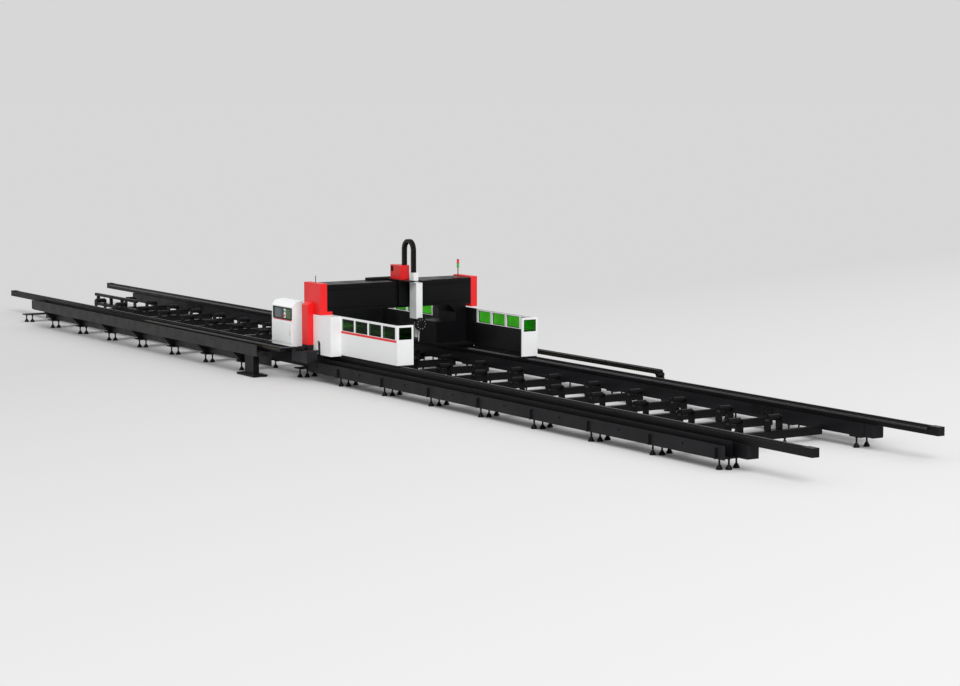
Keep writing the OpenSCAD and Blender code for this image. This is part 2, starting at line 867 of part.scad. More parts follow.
module cable_duct() {
    y1 = -end_box_y;
    color(paint_red)
        along_x(duct_x, duct_x + duct_l, [
            [y1 - duct_w, duct_z], [y1, duct_z], [y1, duct_top], [y1 - 40, duct_top],
            [y1 - duct_w, duct_top - 70]
        ]);
}

module near_tow_bracket() {
    plate_low = tray_z + tray_wall_h + 10;
    plate_top = plate_low + 24;
    box_top = saddle_z;
    chain_out = near_chain_y - link_w / 2;
    color(paint_grey) {
        along_x(bracket_x, bracket_x + bracket_l, [
            [bracket_out, bracket_low], [bracket_in, bracket_low + 80], [bracket_in, box_top],
            [bracket_out, box_top]
        ]);
        span([near_arm_x, near_arm_x + arm_w], [bracket_out, -screen_in], [box_top, saddle_top]);
        span([tongue_x, tongue_x + tongue_l], [bracket_out, bracket_out + 60], [box_top, plate_top]);
        span([tongue_x, tongue_x + tongue_l], [chain_out, bracket_out + 60], [plate_low, plate_top]);
        span([tongue_x, tongue_x + tongue_t], [chain_out, chain_out + link_w],
             [near_top_z - link_h / 2, plate_low]);
        span([duct_x, duct_x + duct_l], [-end_box_y - duct_w, -end_box_y], [box_top, duct_z]);
    }
}

module far_tow_bracket() {
    color(paint_grey) {
        span([arm_x, arm_x + arm_w], [screen_in, far_chain_y + link_w / 2], [saddle_z, saddle_top]);
        span([arm_x + arm_w - tongue_t, arm_x + arm_w], [far_chain_y - link_w / 2, far_chain_y + link_w / 2],
             [far_top_z - link_h / 2, saddle_top]);
    }
}

module console_shelf() {
    color(paint_black)
        span([console_x0 - 30, shelf_x1], [-console_y + 20, -screen_in],
             [console_z - saddle_t / 2, console_z]);
}

module console() {
    back = -console_y + console_d;
    color(paint_white)
        along_x(console_x0, console_x0 + console_w, [
            [-console_y, console_z], [back, console_z], [back, console_z + console_back_h],
            [console_slope_d - console_y, console_z + console_slope_h],
            [-console_y, console_z + console_front_h]
        ]);
}

module console_door() {
    z0 = console_z + door_low;
    color(paint_white)
        span([console_x - door_w / 2, console_x + door_w / 2],
             [-console_y - door_t, -console_y - curve_clear], [z0, z0 + door_h]);
}

module button_hole(z) {
    translate([panel_x + button_shift, -console_y, z])
        rotate([90, 0, 0])
            cylinder(r = stem_r + curve_clear, h = 3 * door_t, center = true);
}

module console_panel() {
    z0 = console_z + panel_low;
    color([0.10, 0.16, 0.13])
        difference() {
            span([panel_x - panel_w / 2, panel_x + panel_w / 2], [-console_y - door_t, -console_y],
                 [z0, z0 + panel_h]);
            button_hole(z0 + panel_h * 0.3);
            button_hole(z0 + panel_h * 0.7);
        }
}

module console_display() {
    x0 = panel_x - panel_w / 2 + display_edge;
    z0 = console_z + panel_low + (panel_h - display_h) / 2;
    color([0.35, 0.42, 0.45])
        span([x0, x0 + display_w], [-console_y - door_t - display_t, -console_y - door_t],
             [z0, z0 + display_h]);
}

module push_button(z, height) {
    translate([panel_x + button_shift, -console_y - curve_clear - button_travel, z])
        rotate([90, 0, 0]) {
            cylinder(r = stem_r, h = door_t);
            translate([0, 0, door_t])
                cylinder(r = button_r, h = height);
        }
}

module start_button() {
    color([0.15, 0.55, 0.22])
        push_button(console_z + panel_low + panel_h * 0.7, 12);
}

module stop_button() {
    color(paint_red)
        push_button(console_z + panel_low + panel_h * 0.3, 24);
}

// The rounded slot where a chain's arm passes a cover.
module arm_slot(x, y) {
    translate([x + arm_w / 2, y, slot_z])
        rotate([90, 0, 0])
            cylinder(r = arm_w / 2 + 12, h = 3 * screen_t, center = true);
    span([x - 12, x + arm_w + 12], [y - 1.5 * screen_t, y + 1.5 * screen_t], [cover_low - 1, slot_z]);
}

// The near cover stands out round the drive, flush with the red end box.
module near_cover() {
    x1 = gantry_x + cover_front;
    span([gantry_x - cover_back, duct_x], [-screen_y, -screen_in], [screen_z, screen_top]);
    span([duct_x, x1], [-end_box_y, -screen_in], [screen_top - screen_t / 2, screen_top]);
    difference() {
        translate([0, 0, cover_low])
            linear_extrude(screen_top - cover_low)
                polygon([
                    [duct_x, -screen_in], [duct_x, -end_box_y], [x1, -end_box_y], [x1, -screen_in],
                    [x1 - screen_t, -screen_in], [x1 - screen_t, screen_t - end_box_y],
                    [duct_x + screen_t, screen_t - end_box_y], [duct_x + screen_t, -screen_in]
                ]);
        arm_slot(near_arm_x, -end_box_y);
    }
}

module far_cover() {
    difference() {
        span([gantry_x - cover_back, gantry_x + cover_front], [screen_in, screen_y], [screen_z, screen_top]);
        arm_slot(arm_x, screen_in);
    }
}

module leg_covers() {
    color(paint_white) {
        near_cover();
        far_cover();
    }
}

// One screen on the near side, in front of the gantry, from where it starts.
module screen_wall(x0, length) {
    x1 = x0 + length;
    difference() {
        union() {
            span([x0, x1], [-screen_y, -screen_in], [screen_z, screen_top]);
            span([x1 - screen_t, x1], [-screen_y, -screen_y + return_d], [screen_z, screen_top]);
        }
        for (i = [0 : 3])
            span([x0 + window_edge + i * window_pitch, x0 + window_edge + i * window_pitch + window_w],
                 [-screen_y - 1, -screen_in + 1], [window_z, window_z + window_h]);
        span([x1 - screen_t - 1, x1 + 1],
             [-screen_y + (return_d - return_window_w) / 2, -screen_y + (return_d + return_window_w) / 2],
             [window_z, window_z + window_h]);
    }
}

// The panes of that screen.
module screen_panes(x0, length) {
    x1 = x0 + length;
    outer = -screen_y + pane_in;
    for (i = [0 : 3])
        span([x0 + window_edge + i * window_pitch, x0 + window_edge + i * window_pitch + window_w],
             [outer, outer + pane_t], [window_z, window_z + window_h]);
    span([x1 - pane_in - pane_t, x1 - pane_in],
         [-screen_y + (return_d - return_window_w) / 2, -screen_y + (return_d + return_window_w) / 2],
         [window_z, window_z + window_h]);
}

module behind_gantry() {
    translate([2 * gantry_x, 0, 0])
        mirror([1, 0, 0])
            children();
}

module near_screen() {
    color(paint_white)
        screen_wall(gantry_x + cover_front, screen_l);
}

module far_screen() {
    color(paint_white)
        mirror([0, 1, 0])
            screen_wall(gantry_x + cover_front, screen_l);
}

module rear_screen() {
    x0 = gantry_x - cover_back - rear_screen_l;
    color(paint_white) {
        mirror([0, 1, 0])
            behind_gantry()
                screen_wall(gantry_x + cover_back, rear_screen_l);
        along_x(x0, x0 + screen_t, [
            [screen_y - return_d, screen_z], [screen_y - return_d, screen_top],
            [screen_y - rear_panel_w, rear_panel_low], [screen_y - rear_panel_w, screen_z]
        ]);
    }
}

module window_panes() {
    color(glass_green) {
        both_sides()
            screen_panes(gantry_x + cover_front, screen_l);
        mirror([0, 1, 0])
            behind_gantry()
                screen_panes(gantry_x + cover_back, rear_screen_l);
    }
}

module stack_pole() {
    color(paint_red)
        span([lamp_x - 75, lamp_x + 75], [lamp_y - 130, lamp_y + 70], [beam_top, beam_top + 16]);
    color(steel)
        translate([lamp_x, lamp_y, beam_top + 16])
            cylinder(r = pole_r, h = pole_h);
}

module green_lamp() {
    color([0.15, 0.6, 0.2])
        translate([lamp_x, lamp_y, beam_top + 16 + pole_h])
            cylinder(r = lamp_r, h = lamp_h);
}

module red_lamp() {
    color(paint_red)
        translate([lamp_x, lamp_y, beam_top + 16 + pole_h + lamp_h])
            cylinder(r = lamp_r, h = lamp_h);
}

module signal_rod() {
    color(paint_black)
        translate([gantry_x + 120, -beam_half - end_box_t / 2, beam_top + end_box_over])
            cylinder(r = pole_r * 0.7, h = rod_h);
}

module beam_chain_fixed() {
    color(paint_black)
        translate([y_fixed_x, y_bend_y, y_chain_z])
            rotate([90, 0, 90])
                chain_run(y_fixed_end - y_bend_y, small_pitch, small_link_h, beam_link_w);
}

module beam_chain_moving() {
    color(paint_black)
        translate([y_moving_x, y_bend_y, y_chain_z])
            rotate([90, 0, 90])
                chain_run(chain_arm_y - y_bend_y, small_pitch, small_link_h, beam_link_w);
}

module flat_bend(start) {
    translate([y_fixed_x + y_bend_r, y_bend_y, y_chain_z])
        rotate([0, 0, start])
            rotate_extrude(angle = 90)
                translate([y_bend_r, 0])
                    square([small_link_h, beam_link_w], center = true);
}

module beam_bend_fixed() {
    color(paint_black)
        flat_bend(180);
}

module beam_bend_moving() {
    color(paint_black)
        flat_bend(270);
}

module carriage() {
    y0 = carriage_y - carriage_w / 2;
    y1 = carriage_y + carriage_w / 2;
    low = beam_z + carriage_low;
    gate_y0 = min(carriage_y - column_w / 2, z_chain_y - small_link_w / 2) - 1;
    gate_y1 = carriage_y + column_w / 2 + 1;
    color(paint_black) {
        span([carriage_x, carriage_x + carriage_t], [y0, y1], [low, top_plate_z]);
        span([carriage_x + carriage_t, carriage_x + carriage_t + column_guide],
             [carriage_y - column_w / 2, carriage_y + column_w / 2],
             [top_plate_z - column_guide_h - 60, top_plate_z - 60]);
        difference() {
            span([top_plate_x0, column_x1 + 32], [y0, y1], [top_plate_z, top_plate_top]);
            span([column_x0 - 0.8, column_x1 + 1], [gate_y0, gate_y1], [top_plate_z - 1, top_plate_top + 1]);
        }
        span([y_moving_x - small_link_h / 2, top_plate_x0], [chain_arm_y, y1], [beam_top + 4, top_plate_top]);
        along_x(carriage_x + carriage_t, carriage_x + carriage_t + 24, [
            [y1 - 160, top_plate_z], [y1, top_plate_z], [y1 - 160, top_plate_z - 150]
        ]);
        for (z = [beam_z + beam_rail_edge, beam_top - beam_rail_edge])
            for (side = [-1, 1])
                translate([beam_x1 + 5, carriage_y + side * carriage_w * 0.36, z])
                    difference() {
                        translate([0, -70, -32])
                            cube([carriage_x - beam_x1 - 5, 140, 64]);
                        translate([-1, -71, -beam_rail / 2 - slide_clear])
                            cube([beam_rail - 4 + slide_clear, 142, beam_rail + 2 * slide_clear]);
                    }
    }
}

module drive_box() {
    color(paint_red)
        span([drive_box_x1 - drive_box_d, drive_box_x1],
             [drive_box_y - drive_box_w / 2, drive_box_y + drive_box_w / 2], [top_plate_top, drive_box_top]);
}

module column() {
    step_z = top_plate_z - 30;
    slim_y = z_chain_y - small_link_w / 2;
    color(paint_white) {
        span([column_x0, column_x1], [carriage_y - column_w / 2, carriage_y + column_w / 2],
             [column_z, step_z]);
        span([column_xm - column_top_d / 2, column_xm + column_top_d / 2],
             [slim_y, slim_y + column_top_w], [step_z, column_top]);
    }
}

module upright_run(x, z, length) {
    translate([x, z_chain_y, z])
        rotate([0, -90, 0])
            chain_run(length, small_pitch, small_link_h, small_link_w);
}

module column_chain_fixed() {
    color(paint_black)
        upright_run(z_leg_x, drive_box_top, z_bend_z - drive_box_top);
}

module column_chain_moving() {
    color(paint_black)
        upright_run(column_xm, column_top, z_bend_z - column_top);
}

module arch(start) {
    translate([column_xm - z_bend_r, z_chain_y, z_bend_z])
        chain_bend(z_bend_r, small_link_h, small_link_w, start);
}

module column_bend_fixed() {
    color(paint_black)
        arch(90);
}

module column_bend_moving() {
    color(paint_black)
        arch(0);
}

module rotary_head() {
    collar_z = column_z - collar_h;
    color(paint_black) {
        translate([column_xm, carriage_y, collar_z])
            cylinder(r = collar_r, h = collar_h - curve_clear);
        span([column_xm, tilt_x + tilt_w], [carriage_y - 50, carriage_y + 50], [collar_z, column_z - 12]);
        translate([tilt_x, carriage_y, tilt_z])
            rotate([0, 90, 0])
                cylinder(r = tilt_r, h = tilt_w);
    }
}

module tilting_head() {
    flange_x = tilt_x - curve_clear;
    color(steel) {
        translate([column_xm, carriage_y, tilt_z])
            rotate([0, 90, 0])
                cylinder(r = head_r * 1.1, h = flange_x - column_xm);
        translate([column_xm, carriage_y, tilt_z - head_l])
            cylinder(r = head_r, h = head_l + 34);
        translate([tube_x, carriage_y, tube_z])
            cylinder(r = tube_r, h = tilt_z - tube_z);
        span([column_xm, tube_x], [carriage_y - 20, carriage_y + 20], [tube_z + 30, tube_z + 120]);
        translate([tube_x, carriage_y, tube_z - nozzle_l])
            cylinder(r1 = 8, r2 = tube_r * 0.8, h = nozzle_l);
    }
}

rail_beams();
rail_bars();
guide_rails();
racks();
near_gutter();
chain_tray();
tray_post();
far_chain_tray();
cross_beams();
roller_stands();
support_rollers();
end_frame();
foot_plates();
levelling_feet();
near_chain_fixed();
far_chain_fixed();
near_bend_lower();
near_bend_upper();
far_bend_lower();
far_bend_upper();
near_chain_moving();
far_chain_moving();
saddles();
guide_blocks();
legs();
gantry_beam();
beam_rails();
end_boxes();
cable_duct();
near_tow_bracket();
far_tow_bracket();
console_shelf();
console();
console_door();
console_panel();
console_display();
start_button();
stop_button();
leg_covers();
near_screen();
far_screen();
rear_screen();
window_panes();
stack_pole();
green_lamp();
red_lamp();
signal_rod();
beam_chain_fixed();
beam_chain_moving();
beam_bend_fixed();
beam_bend_moving();
carriage();
drive_box();
column_chain_fixed();
column_chain_moving();
column_bend_fixed();
column_bend_moving();
column();
rotary_head();
tilting_head();
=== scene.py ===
# %% [markdown]
# # A gantry laser cutting machine
# The machine is a portal that rides on two rails along a bed about 38 m long. The solids of every rigid
# piece are already made and packed, so this script loads them and adds what makes them real: their
# finish, their fastenings, the links of their drag chains, and the light.

# %% Load the frame
from math import cos, pi, radians, sin

import bmesh
import bpy
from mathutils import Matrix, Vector


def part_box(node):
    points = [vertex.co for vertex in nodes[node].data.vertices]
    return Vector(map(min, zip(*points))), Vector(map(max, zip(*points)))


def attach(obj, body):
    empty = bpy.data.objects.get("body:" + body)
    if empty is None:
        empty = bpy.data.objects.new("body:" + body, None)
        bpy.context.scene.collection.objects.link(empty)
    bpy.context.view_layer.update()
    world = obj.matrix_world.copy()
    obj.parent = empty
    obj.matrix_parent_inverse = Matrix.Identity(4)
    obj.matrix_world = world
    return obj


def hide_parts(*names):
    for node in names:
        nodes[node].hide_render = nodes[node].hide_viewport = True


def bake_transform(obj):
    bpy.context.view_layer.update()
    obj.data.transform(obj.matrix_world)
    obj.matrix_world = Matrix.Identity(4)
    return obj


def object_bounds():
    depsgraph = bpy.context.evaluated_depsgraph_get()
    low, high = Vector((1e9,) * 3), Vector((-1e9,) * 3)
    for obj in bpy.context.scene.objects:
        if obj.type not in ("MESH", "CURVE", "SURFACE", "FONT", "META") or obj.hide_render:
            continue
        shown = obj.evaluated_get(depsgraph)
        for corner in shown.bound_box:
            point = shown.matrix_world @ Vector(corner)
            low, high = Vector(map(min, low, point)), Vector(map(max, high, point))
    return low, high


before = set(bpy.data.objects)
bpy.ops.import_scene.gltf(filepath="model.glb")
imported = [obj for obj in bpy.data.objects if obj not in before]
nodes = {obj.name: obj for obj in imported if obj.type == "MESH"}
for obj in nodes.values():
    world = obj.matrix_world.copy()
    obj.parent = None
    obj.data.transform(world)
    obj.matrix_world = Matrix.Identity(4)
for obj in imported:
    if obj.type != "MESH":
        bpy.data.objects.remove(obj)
cad_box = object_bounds()

# %% [markdown]
# ## The camera
# The photograph looks from far off the machine's right-hand end, about 7 m above the floor, through a long
# lens. Lens, place and turn were found by fitting the rails' edges and the feet, so the render can be laid
# over the photograph.

# %% Set the camera
SENSOR_WIDTH = 36.0
CLIP_END = 1000.0
LENS = 87.646
EYE = (49.452, -28.096, 6.844)
LOOK_DOWN = radians(6.239)
LOOK_ROUND = radians(57.549)


def add_object(name, data):
    """A new object in the scene."""
    thing = bpy.data.objects.new(name, data)
    bpy.context.collection.objects.link(thing)
    return thing


camera_data = bpy.data.cameras.new("camera")
camera_data.sensor_fit = "HORIZONTAL"
camera_data.sensor_width = SENSOR_WIDTH
camera_data.lens = LENS
camera_data.clip_end = CLIP_END
camera = add_object("camera", camera_data)
camera.location = EYE
camera.rotation_euler = (pi / 2 - LOOK_DOWN, 0, LOOK_ROUND)
bpy.context.scene.camera = camera
bpy.context.scene.view_settings.view_transform = "Standard"
print("camera at", EYE)

# %% [markdown]
# ## Finishes
# A painted sheet is never one flat colour: the coat has a fine orange-peel grain, its gloss varies in
# patches, and dust settles on what faces up. All of that is made from noise on Object coordinates, which
# are the machine's own metres, so the grain has a real size and the same finish fits every piece.

# %% Helpers for node materials
def feed(node, inputs):
    """Gives a node's inputs, by name or number, another node's output or a constant."""
    for label, value in inputs.items():
        if isinstance(value, bpy.types.NodeSocket):
            node.id_data.links.new(value, node.inputs[label])
        else:
            node.inputs[label].default_value = value
    return node


def add_node(beside, kind, inputs):
    """A new node with its inputs fed; beside is the tree or anything in it, as id_data leads there."""
    return feed(beside.id_data.nodes.new(kind), inputs)


def new_finish(name):
    """An empty node material, its Principled shader and its Object coordinates."""
    finish = bpy.data.materials.new(name)
    finish.use_nodes = True
    shader = finish.node_tree.nodes["Principled BSDF"]
    return finish, shader, add_node(shader, "ShaderNodeTexCoord", {}).outputs["Object"]


def noise(place, scale, detail, stretch=(1, 1, 1)):
    """Noise of that many patches to the metre, stretched along the axes."""
    mapped = add_node(place, "ShaderNodeMapping", {"Vector": place, "Scale": stretch}).outputs["Vector"]
    texture = add_node(place, "ShaderNodeTexNoise", {"Vector": mapped, "Scale": scale, "Detail": detail})
    return texture.outputs["Fac"]


def spread(value, low, high, start=0.3, stop=0.7):
    """Maps a noise value between two limits."""
    limits = {"From Min": start, "From Max": stop, "To Min": low, "To Max": high}
    return add_node(value, "ShaderNodeMapRange", {"Value": value, **limits}).outputs["Result"]


def blend_colours(share, first, second):
    """A colour between two: each is a fixed colour or another node's output."""
    node = add_node(share, "ShaderNodeMix", {})
    node.data_type = "RGBA"
    first, second = [colour if isinstance(colour, bpy.types.NodeSocket) else (*colour, 1)
                     for colour in (first, second)]
    return feed(node, {"Factor": share, "A": first, "B": second}).outputs["Result"]


def combine(operation, first, second):
    """Arithmetic on a node's output and a number or another output."""
    node = add_node(first, "ShaderNodeMath", {})
    node.operation = operation
    return feed(node, {0: first, 1: second}).outputs["Value"]


def axis_of(vector, letter):
    """One coordinate of a vector."""
    return add_node(vector, "ShaderNodeSeparateXYZ", {"Vector": vector}).outputs[letter]


def roughen(shader, height, strength, distance):
    """Bump from a height value."""
    bump = add_node(height, "ShaderNodeBump", {"Height": height, "Strength": strength, "Distance": distance})
    feed(shader, {"Normal": bump.outputs["Normal"]})


def shade(colour, factor):
    """A darker or paler copy of a colour."""
    return tuple(min(1.0, channel * factor) for channel in colour)


# %% [markdown]
# Most of the machine is black paint, and a black coat shows little but its gloss. A full gloss would turn
# it grey under a pale sky, so each paint says how much it shines on the shader's own socket.

# %% Painted sheet and castings
DUST = (0.30, 0.29, 0.28)
WHITE = (0.86, 0.865, 0.87)
# A paler copy of the same white paint for the console, its door and its button strip: painted light that
# lifts faces the render shades more than the screens.
PAINTED_LIT_WHITE = (0.93, 0.935, 0.94)
BLACK = (0.0045, 0.0046, 0.0052)


def facing(place, letter):
    """How far a face looks along one axis of the piece, from -1 to 1."""
    return axis_of(add_node(place, "ShaderNodeTexCoord", {}).outputs["Normal"], letter)


def paint_coat(place, colour, variation, dust):
    """Colour of a painted face: patches of the coat, and dust where it can lie."""
    patches = spread(noise(place, scale=1.3, detail=4), 0, 1)
    coat = blend_colours(patches, shade(colour, 1 - variation), shade(colour, 1 + variation))
    upward = spread(facing(place, "Z"), 0, 1, start=0.6, stop=0.95)
    lying = combine("MULTIPLY", upward, spread(noise(place, scale=6, detail=5), 0, dust))
    return blend_colours(lying, coat, DUST)


def coat_surface(shader, place, roughness, shine):
    """Gloss in patches and a fine orange peel."""
    dullness = spread(noise(place, scale=3, detail=3), roughness - 0.07, roughness + 0.09)
    feed(shader, {"Roughness": dullness, "Specular IOR Level": shine})
    roughen(shader, noise(place, scale=260, detail=1), strength=0.12, distance=0.0006)


def painted(name, colour, roughness, variation, dust, shine):
    """Sprayed paint on metal."""
    finish, shader, place = new_finish(name)
    feed(shader, {"Base Color": paint_coat(place, colour, variation, dust)})
    coat_surface(shader, place, roughness, shine)
    return finish


# Name, colour, roughness, change of tone in patches, dust and shine of each paint
bed_black = painted("bed_black_paint", BLACK, 0.42, 0.25, 0.03, 0.14)
beam_grey = painted("beam_grey_paint", (0.0075, 0.0078, 0.0092), 0.45, 0.20, 0.03, 0.14)
tray_grey = painted("tray_grey_paint", (0.017, 0.017, 0.0185), 0.45, 0.15, 0.06, 0.20)
gantry_black = painted("gantry_black_paint", (0.0042, 0.0042, 0.0050), 0.40, 0.20, 0.03, 0.12)
signal_red = painted("red_paint", (0.82, 0.010, 0.012), 0.36, 0.05, 0.03, 0.40)
# The same white paint made paler: painted light on the console's door and button strip.
painted_lit_white_paint = painted("white_paint", PAINTED_LIT_WHITE, 0.36, 0.02, 0.03, 0.40)
bracket_grey = painted("bracket_grey_paint", (0.016, 0.0165, 0.019), 0.45, 0.15, 0.04, 0.20)
panel_green = painted("panel_green_paint", (0.010, 0.040, 0.013), 0.35, 0.15, 0.02, 0.30)
pole_red = painted("dark_red_paint", (0.16, 0.012, 0.014), 0.40, 0.08, 0.05, 0.30)
head_black = painted("head_black_paint", (0.0050, 0.0050, 0.0058), 0.30, 0.20, 0.02, 0.25)
print("paints made")


# %% [markdown]
# Rails, rollers and feet are bare or plated metal. Grinding and turning leave scratches that run one way,
# so the noise is stretched along that way and drives both tone and roughness.

# %% Bare metal
def bare_metal(name, colour, roughness, along=(0.4, 40, 40), metal=1.0):
    """Ground metal: fine scratches that run one way."""
    finish, shader, place = new_finish(name)
    scratches = noise(place, scale=9, detail=6, stretch=along)
    tone = blend_colours(spread(scratches, 0, 1), shade(colour, 0.8), shade(colour, 1.1))
    dullness = spread(scratches, roughness - 0.08, roughness + 0.12)
    feed(shader, {"Base Color": tone, "Metallic": metal, "Roughness": dullness})
    roughen(shader, scratches, strength=0.08, distance=0.0004)
    return finish


# Name, colour, roughness, stretch of the scratches and share of bare metal
rail_steel = bare_metal("ground_steel", (0.055, 0.055, 0.060), 0.40)
roller_steel = bare_metal("blackened_steel", (0.016, 0.016, 0.018), 0.45, (40, 0.4, 40))
foot_steel = bare_metal("dull_foot_steel", (0.020, 0.020, 0.022), 0.5, (8, 8, 8))
bolt_steel = bare_metal("bolt_steel", (0.10, 0.10, 0.105), 0.4, (20, 20, 20))
# Silver, only partly metallic: its pale colour is partly the metal's own tone and partly a painted reflection
# of the pale surroundings.
silver_with_painted_reflection = bare_metal("pale_silver_painted_reflection", (0.74, 0.73, 0.71), 0.34, (30, 30, 0.6), 0.35)
plug_brass = bare_metal("brass_plugs", (0.42, 0.27, 0.08), 0.40, (20, 20, 20))
print("metals made")


# %% [markdown]
# Chain links, gaskets and buttons are moulded plastic or rubber with a leather-like grain. The panes are
# coloured through, so their colour comes from what light passes, and the lamp lenses glow.

# %% Moulded plastic, rubber and glass
def moulded(name, colour, roughness, shine=0.3):
    """Moulded plastic or rubber with a fine leather-like grain."""
    finish, shader, place = new_finish(name)
    cells = add_node(place, "ShaderNodeTexVoronoi", {"Vector": place, "Scale": 420})
    patches = spread(noise(place, scale=7, detail=3), 0, 1)
    tone = blend_colours(patches, shade(colour, 0.8), shade(colour, 1.2))
    dullness = spread(noise(place, scale=30, detail=2), roughness - 0.08, roughness + 0.08)
    feed(shader, {"Base Color": tone, "Roughness": dullness, "Specular IOR Level": shine})
    roughen(shader, cells.outputs["Distance"], strength=0.15, distance=0.0005)
    return finish


def tinted_glass(name, colour):
    """A tinted pane with a faint waviness in its gloss, and paler and darker patches of tint that are painted
    reflections.
    """
    finish, shader, place = new_finish(name)
    patches = spread(noise(place, scale=2.2, detail=2), 0, 1)
    # Paler and darker patches of the tint: painted reflections.
    tint_and_painted_reflections = blend_colours(patches, shade(colour, 0.75), shade(colour, 1.25))
    dullness = spread(noise(place, scale=5, detail=2), 0.01, 0.05)
    feed(shader, {"Base Color": tint_and_painted_reflections, "Roughness": dullness, "IOR": 1.12, "Transmission Weight": 1.0})
    return finish


def lens(name, colour, glow):
    """A ribbed lamp lens: the ribs are bands along its height, bumped, with painted shade in their troughs
    that darkens both colour and glow.
    """
    finish, shader, place = new_finish(name)
    bands = add_node(place, "ShaderNodeTexWave", {"Vector": place, "Scale": 30})
    bands.bands_direction = "Z"
    # Darker in the troughs of the ribs: painted shade.
    tone = blend_colours(bands.outputs["Fac"], shade(colour, 0.75), colour)
    feed(shader, {"Base Color": tone, "Emission Color": tone, "Emission Strength": glow, "Roughness": 0.2})
    roughen(shader, bands.outputs["Fac"], strength=0.3, distance=0.002)
    return finish


# Name, colour, roughness and shine of the plastics, or name, colour and glow of the lenses
chain_plastic = moulded("chain_plastic", (0.0055, 0.0055, 0.006), 0.5, 0.15)
gasket_rubber = moulded("gasket_rubber", (0.008, 0.008, 0.009), 0.7, 0.15)
key_plastic = moulded("key_plastic", (0.16, 0.27, 0.15), 0.5)
button_green = moulded("green_button_plastic", (0.02, 0.30, 0.06), 0.35)
button_red = moulded("red_button_plastic", (0.60, 0.02, 0.02), 0.35)
window_green = tinted_glass("green_pane", (0.055, 0.44, 0.022))
lamp_green = lens("green_lens", (0.03, 0.42, 0.08), 0.25)
lamp_red = lens("red_lens", (0.75, 0.02, 0.02), 0.25)
print("plastics and glass made")

# %% [markdown]
# Some pieces carry two finishes. The screens and leg covers are white outside and black inside, the column
# has grey sides and a white front, and the console has a bare zinc plate behind its door. A mask on the same
# Object coordinates parts the two, so each colour stays on its face from every side.

# %% Two-tone pieces
def two_tone(name, outer, inner, mask_of):
    """Paint that changes from outer to inner where the mask is 1."""
    finish, shader, place = new_finish(name)
    first = paint_coat(place, outer, variation=0.02, dust=0.03)
    second = paint_coat(place, inner, variation=0.15, dust=0.03)
    feed(shader, {"Base Color": blend_colours(mask_of(place), first, second)})
    coat_surface(shader, place, roughness=0.36, shine=0.35)
    return finish


SKIN = 0.004
SILL = 0.012
SIDEWAYS = 0.7
screen_low, screen_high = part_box("near_screen")
rear_low, rear_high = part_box("rear_screen")
pane_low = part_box("window_panes")[0].z
wall_outside = -screen_low.y
wall_inside = -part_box("saddles")[0].y
wall_thick = wall_outside - wall_inside


def within(place, *bounds):
    """1 where every bound holds: each names a coordinate, a test and a limit."""
    result = 1.0
    for letter, test, limit in bounds:
        mask = combine(test, axis_of(place, letter), limit)
        result = combine("MULTIPLY", mask, result)
    return result


def behind_wall(place):
    """What lies on the inner side of the near and far walls."""
    across = combine("ABSOLUTE", axis_of(place, "Y"), 0)
    return combine("LESS_THAN", across, wall_inside + SKIN)


def inside_screen(place):
    """The inner face of a screen and of its return, below the windows."""
    bounds = [("X", "LESS_THAN", screen_high.x - wall_thick + SKIN), ("X", "GREATER_THAN", rear_low.x + SKIN),
              ("Z", "LESS_THAN", pane_low - SILL)]
    return combine("MULTIPLY", behind_wall(place), within(place, *bounds))


def column_side(place):
    """The column's two side faces."""
    sideways = combine("ABSOLUTE", facing(place, "Y"), 0)
    return combine("GREATER_THAN", sideways, SIDEWAYS)


ZINC = (0.30, 0.31, 0.32)
DOOR_LAP = 0.03
door_low, door_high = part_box("console_door")


def behind_door(place):
    """The bare zinc plate on the console's front, which the door covers when it is shut."""
    bounds = [("X", "GREATER_THAN", door_low.x + DOOR_LAP), ("X", "LESS_THAN", door_high.x - DOOR_LAP),
              ("Y", "LESS_THAN", door_high.y + SKIN), ("Z", "GREATER_THAN", door_low.z + DOOR_LAP),
              ("Z", "LESS_THAN", door_high.z - DOOR_LAP)]
    return within(place, *bounds)


screen_paint = two_tone("screen_paint", WHITE, BLACK, inside_screen)
cover_paint = two_tone("cover_paint", WHITE, BLACK, behind_wall)
column_paint = two_tone("column_paint", WHITE, (0.80, 0.81, 0.82), column_side)
# The console's outer coat is the paler copy of the white paint: painted light.
console_paint = two_tone("console_paint", PAINTED_LIT_WHITE, ZINC, behind_door)
print("wall:", round(wall_thick, 3), "m thick")

# %% [markdown]
# The console's screen shows a table ruled with fine lines, and a plain darker column beside it. It glows a
# little, as a lit screen does.

# %% The screen
CELL_WIDTH, CELL_HEIGHT, RULE = 0.055, 0.014, 0.0009
TABLE_SHARE = 0.72
display_low, display_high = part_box("console_display")


def lit_screen(name):
    """A lit screen with a table of values and a plain column beside it."""
    finish, shader, place = new_finish(name)
    turned = add_node(place, "ShaderNodeMapping", {"Vector": place, "Rotation": (pi / 2, 0, 0)})
    grid = add_node(place, "ShaderNodeTexBrick", {
        "Vector": turned.outputs["Vector"], "Scale": 1.0, "Brick Width": CELL_WIDTH,
        "Row Height": CELL_HEIGHT, "Mortar Size": RULE, "Color1": (0.060, 0.078, 0.090, 1),
        "Color2": (0.075, 0.095, 0.110, 1), "Mortar": (0.030, 0.040, 0.048, 1)})
    grid.offset = 0.0
    edge = display_low.x + TABLE_SHARE * (display_high.x - display_low.x)
    beside = combine("GREATER_THAN", axis_of(place, "X"), edge)
    picture = blend_colours(beside, grid.outputs["Color"], (0.020, 0.030, 0.036))
    feed(shader, {"Base Color": picture, "Emission Color": picture, "Emission Strength": 0.35,
                  "Roughness": 0.15})
    return finish


display_glow = lit_screen("lit_display")
print("screen:", [round(v, 3) for v in display_high - display_low])

# %% [markdown]
# ## Finish on the solids
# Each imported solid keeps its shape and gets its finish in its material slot.

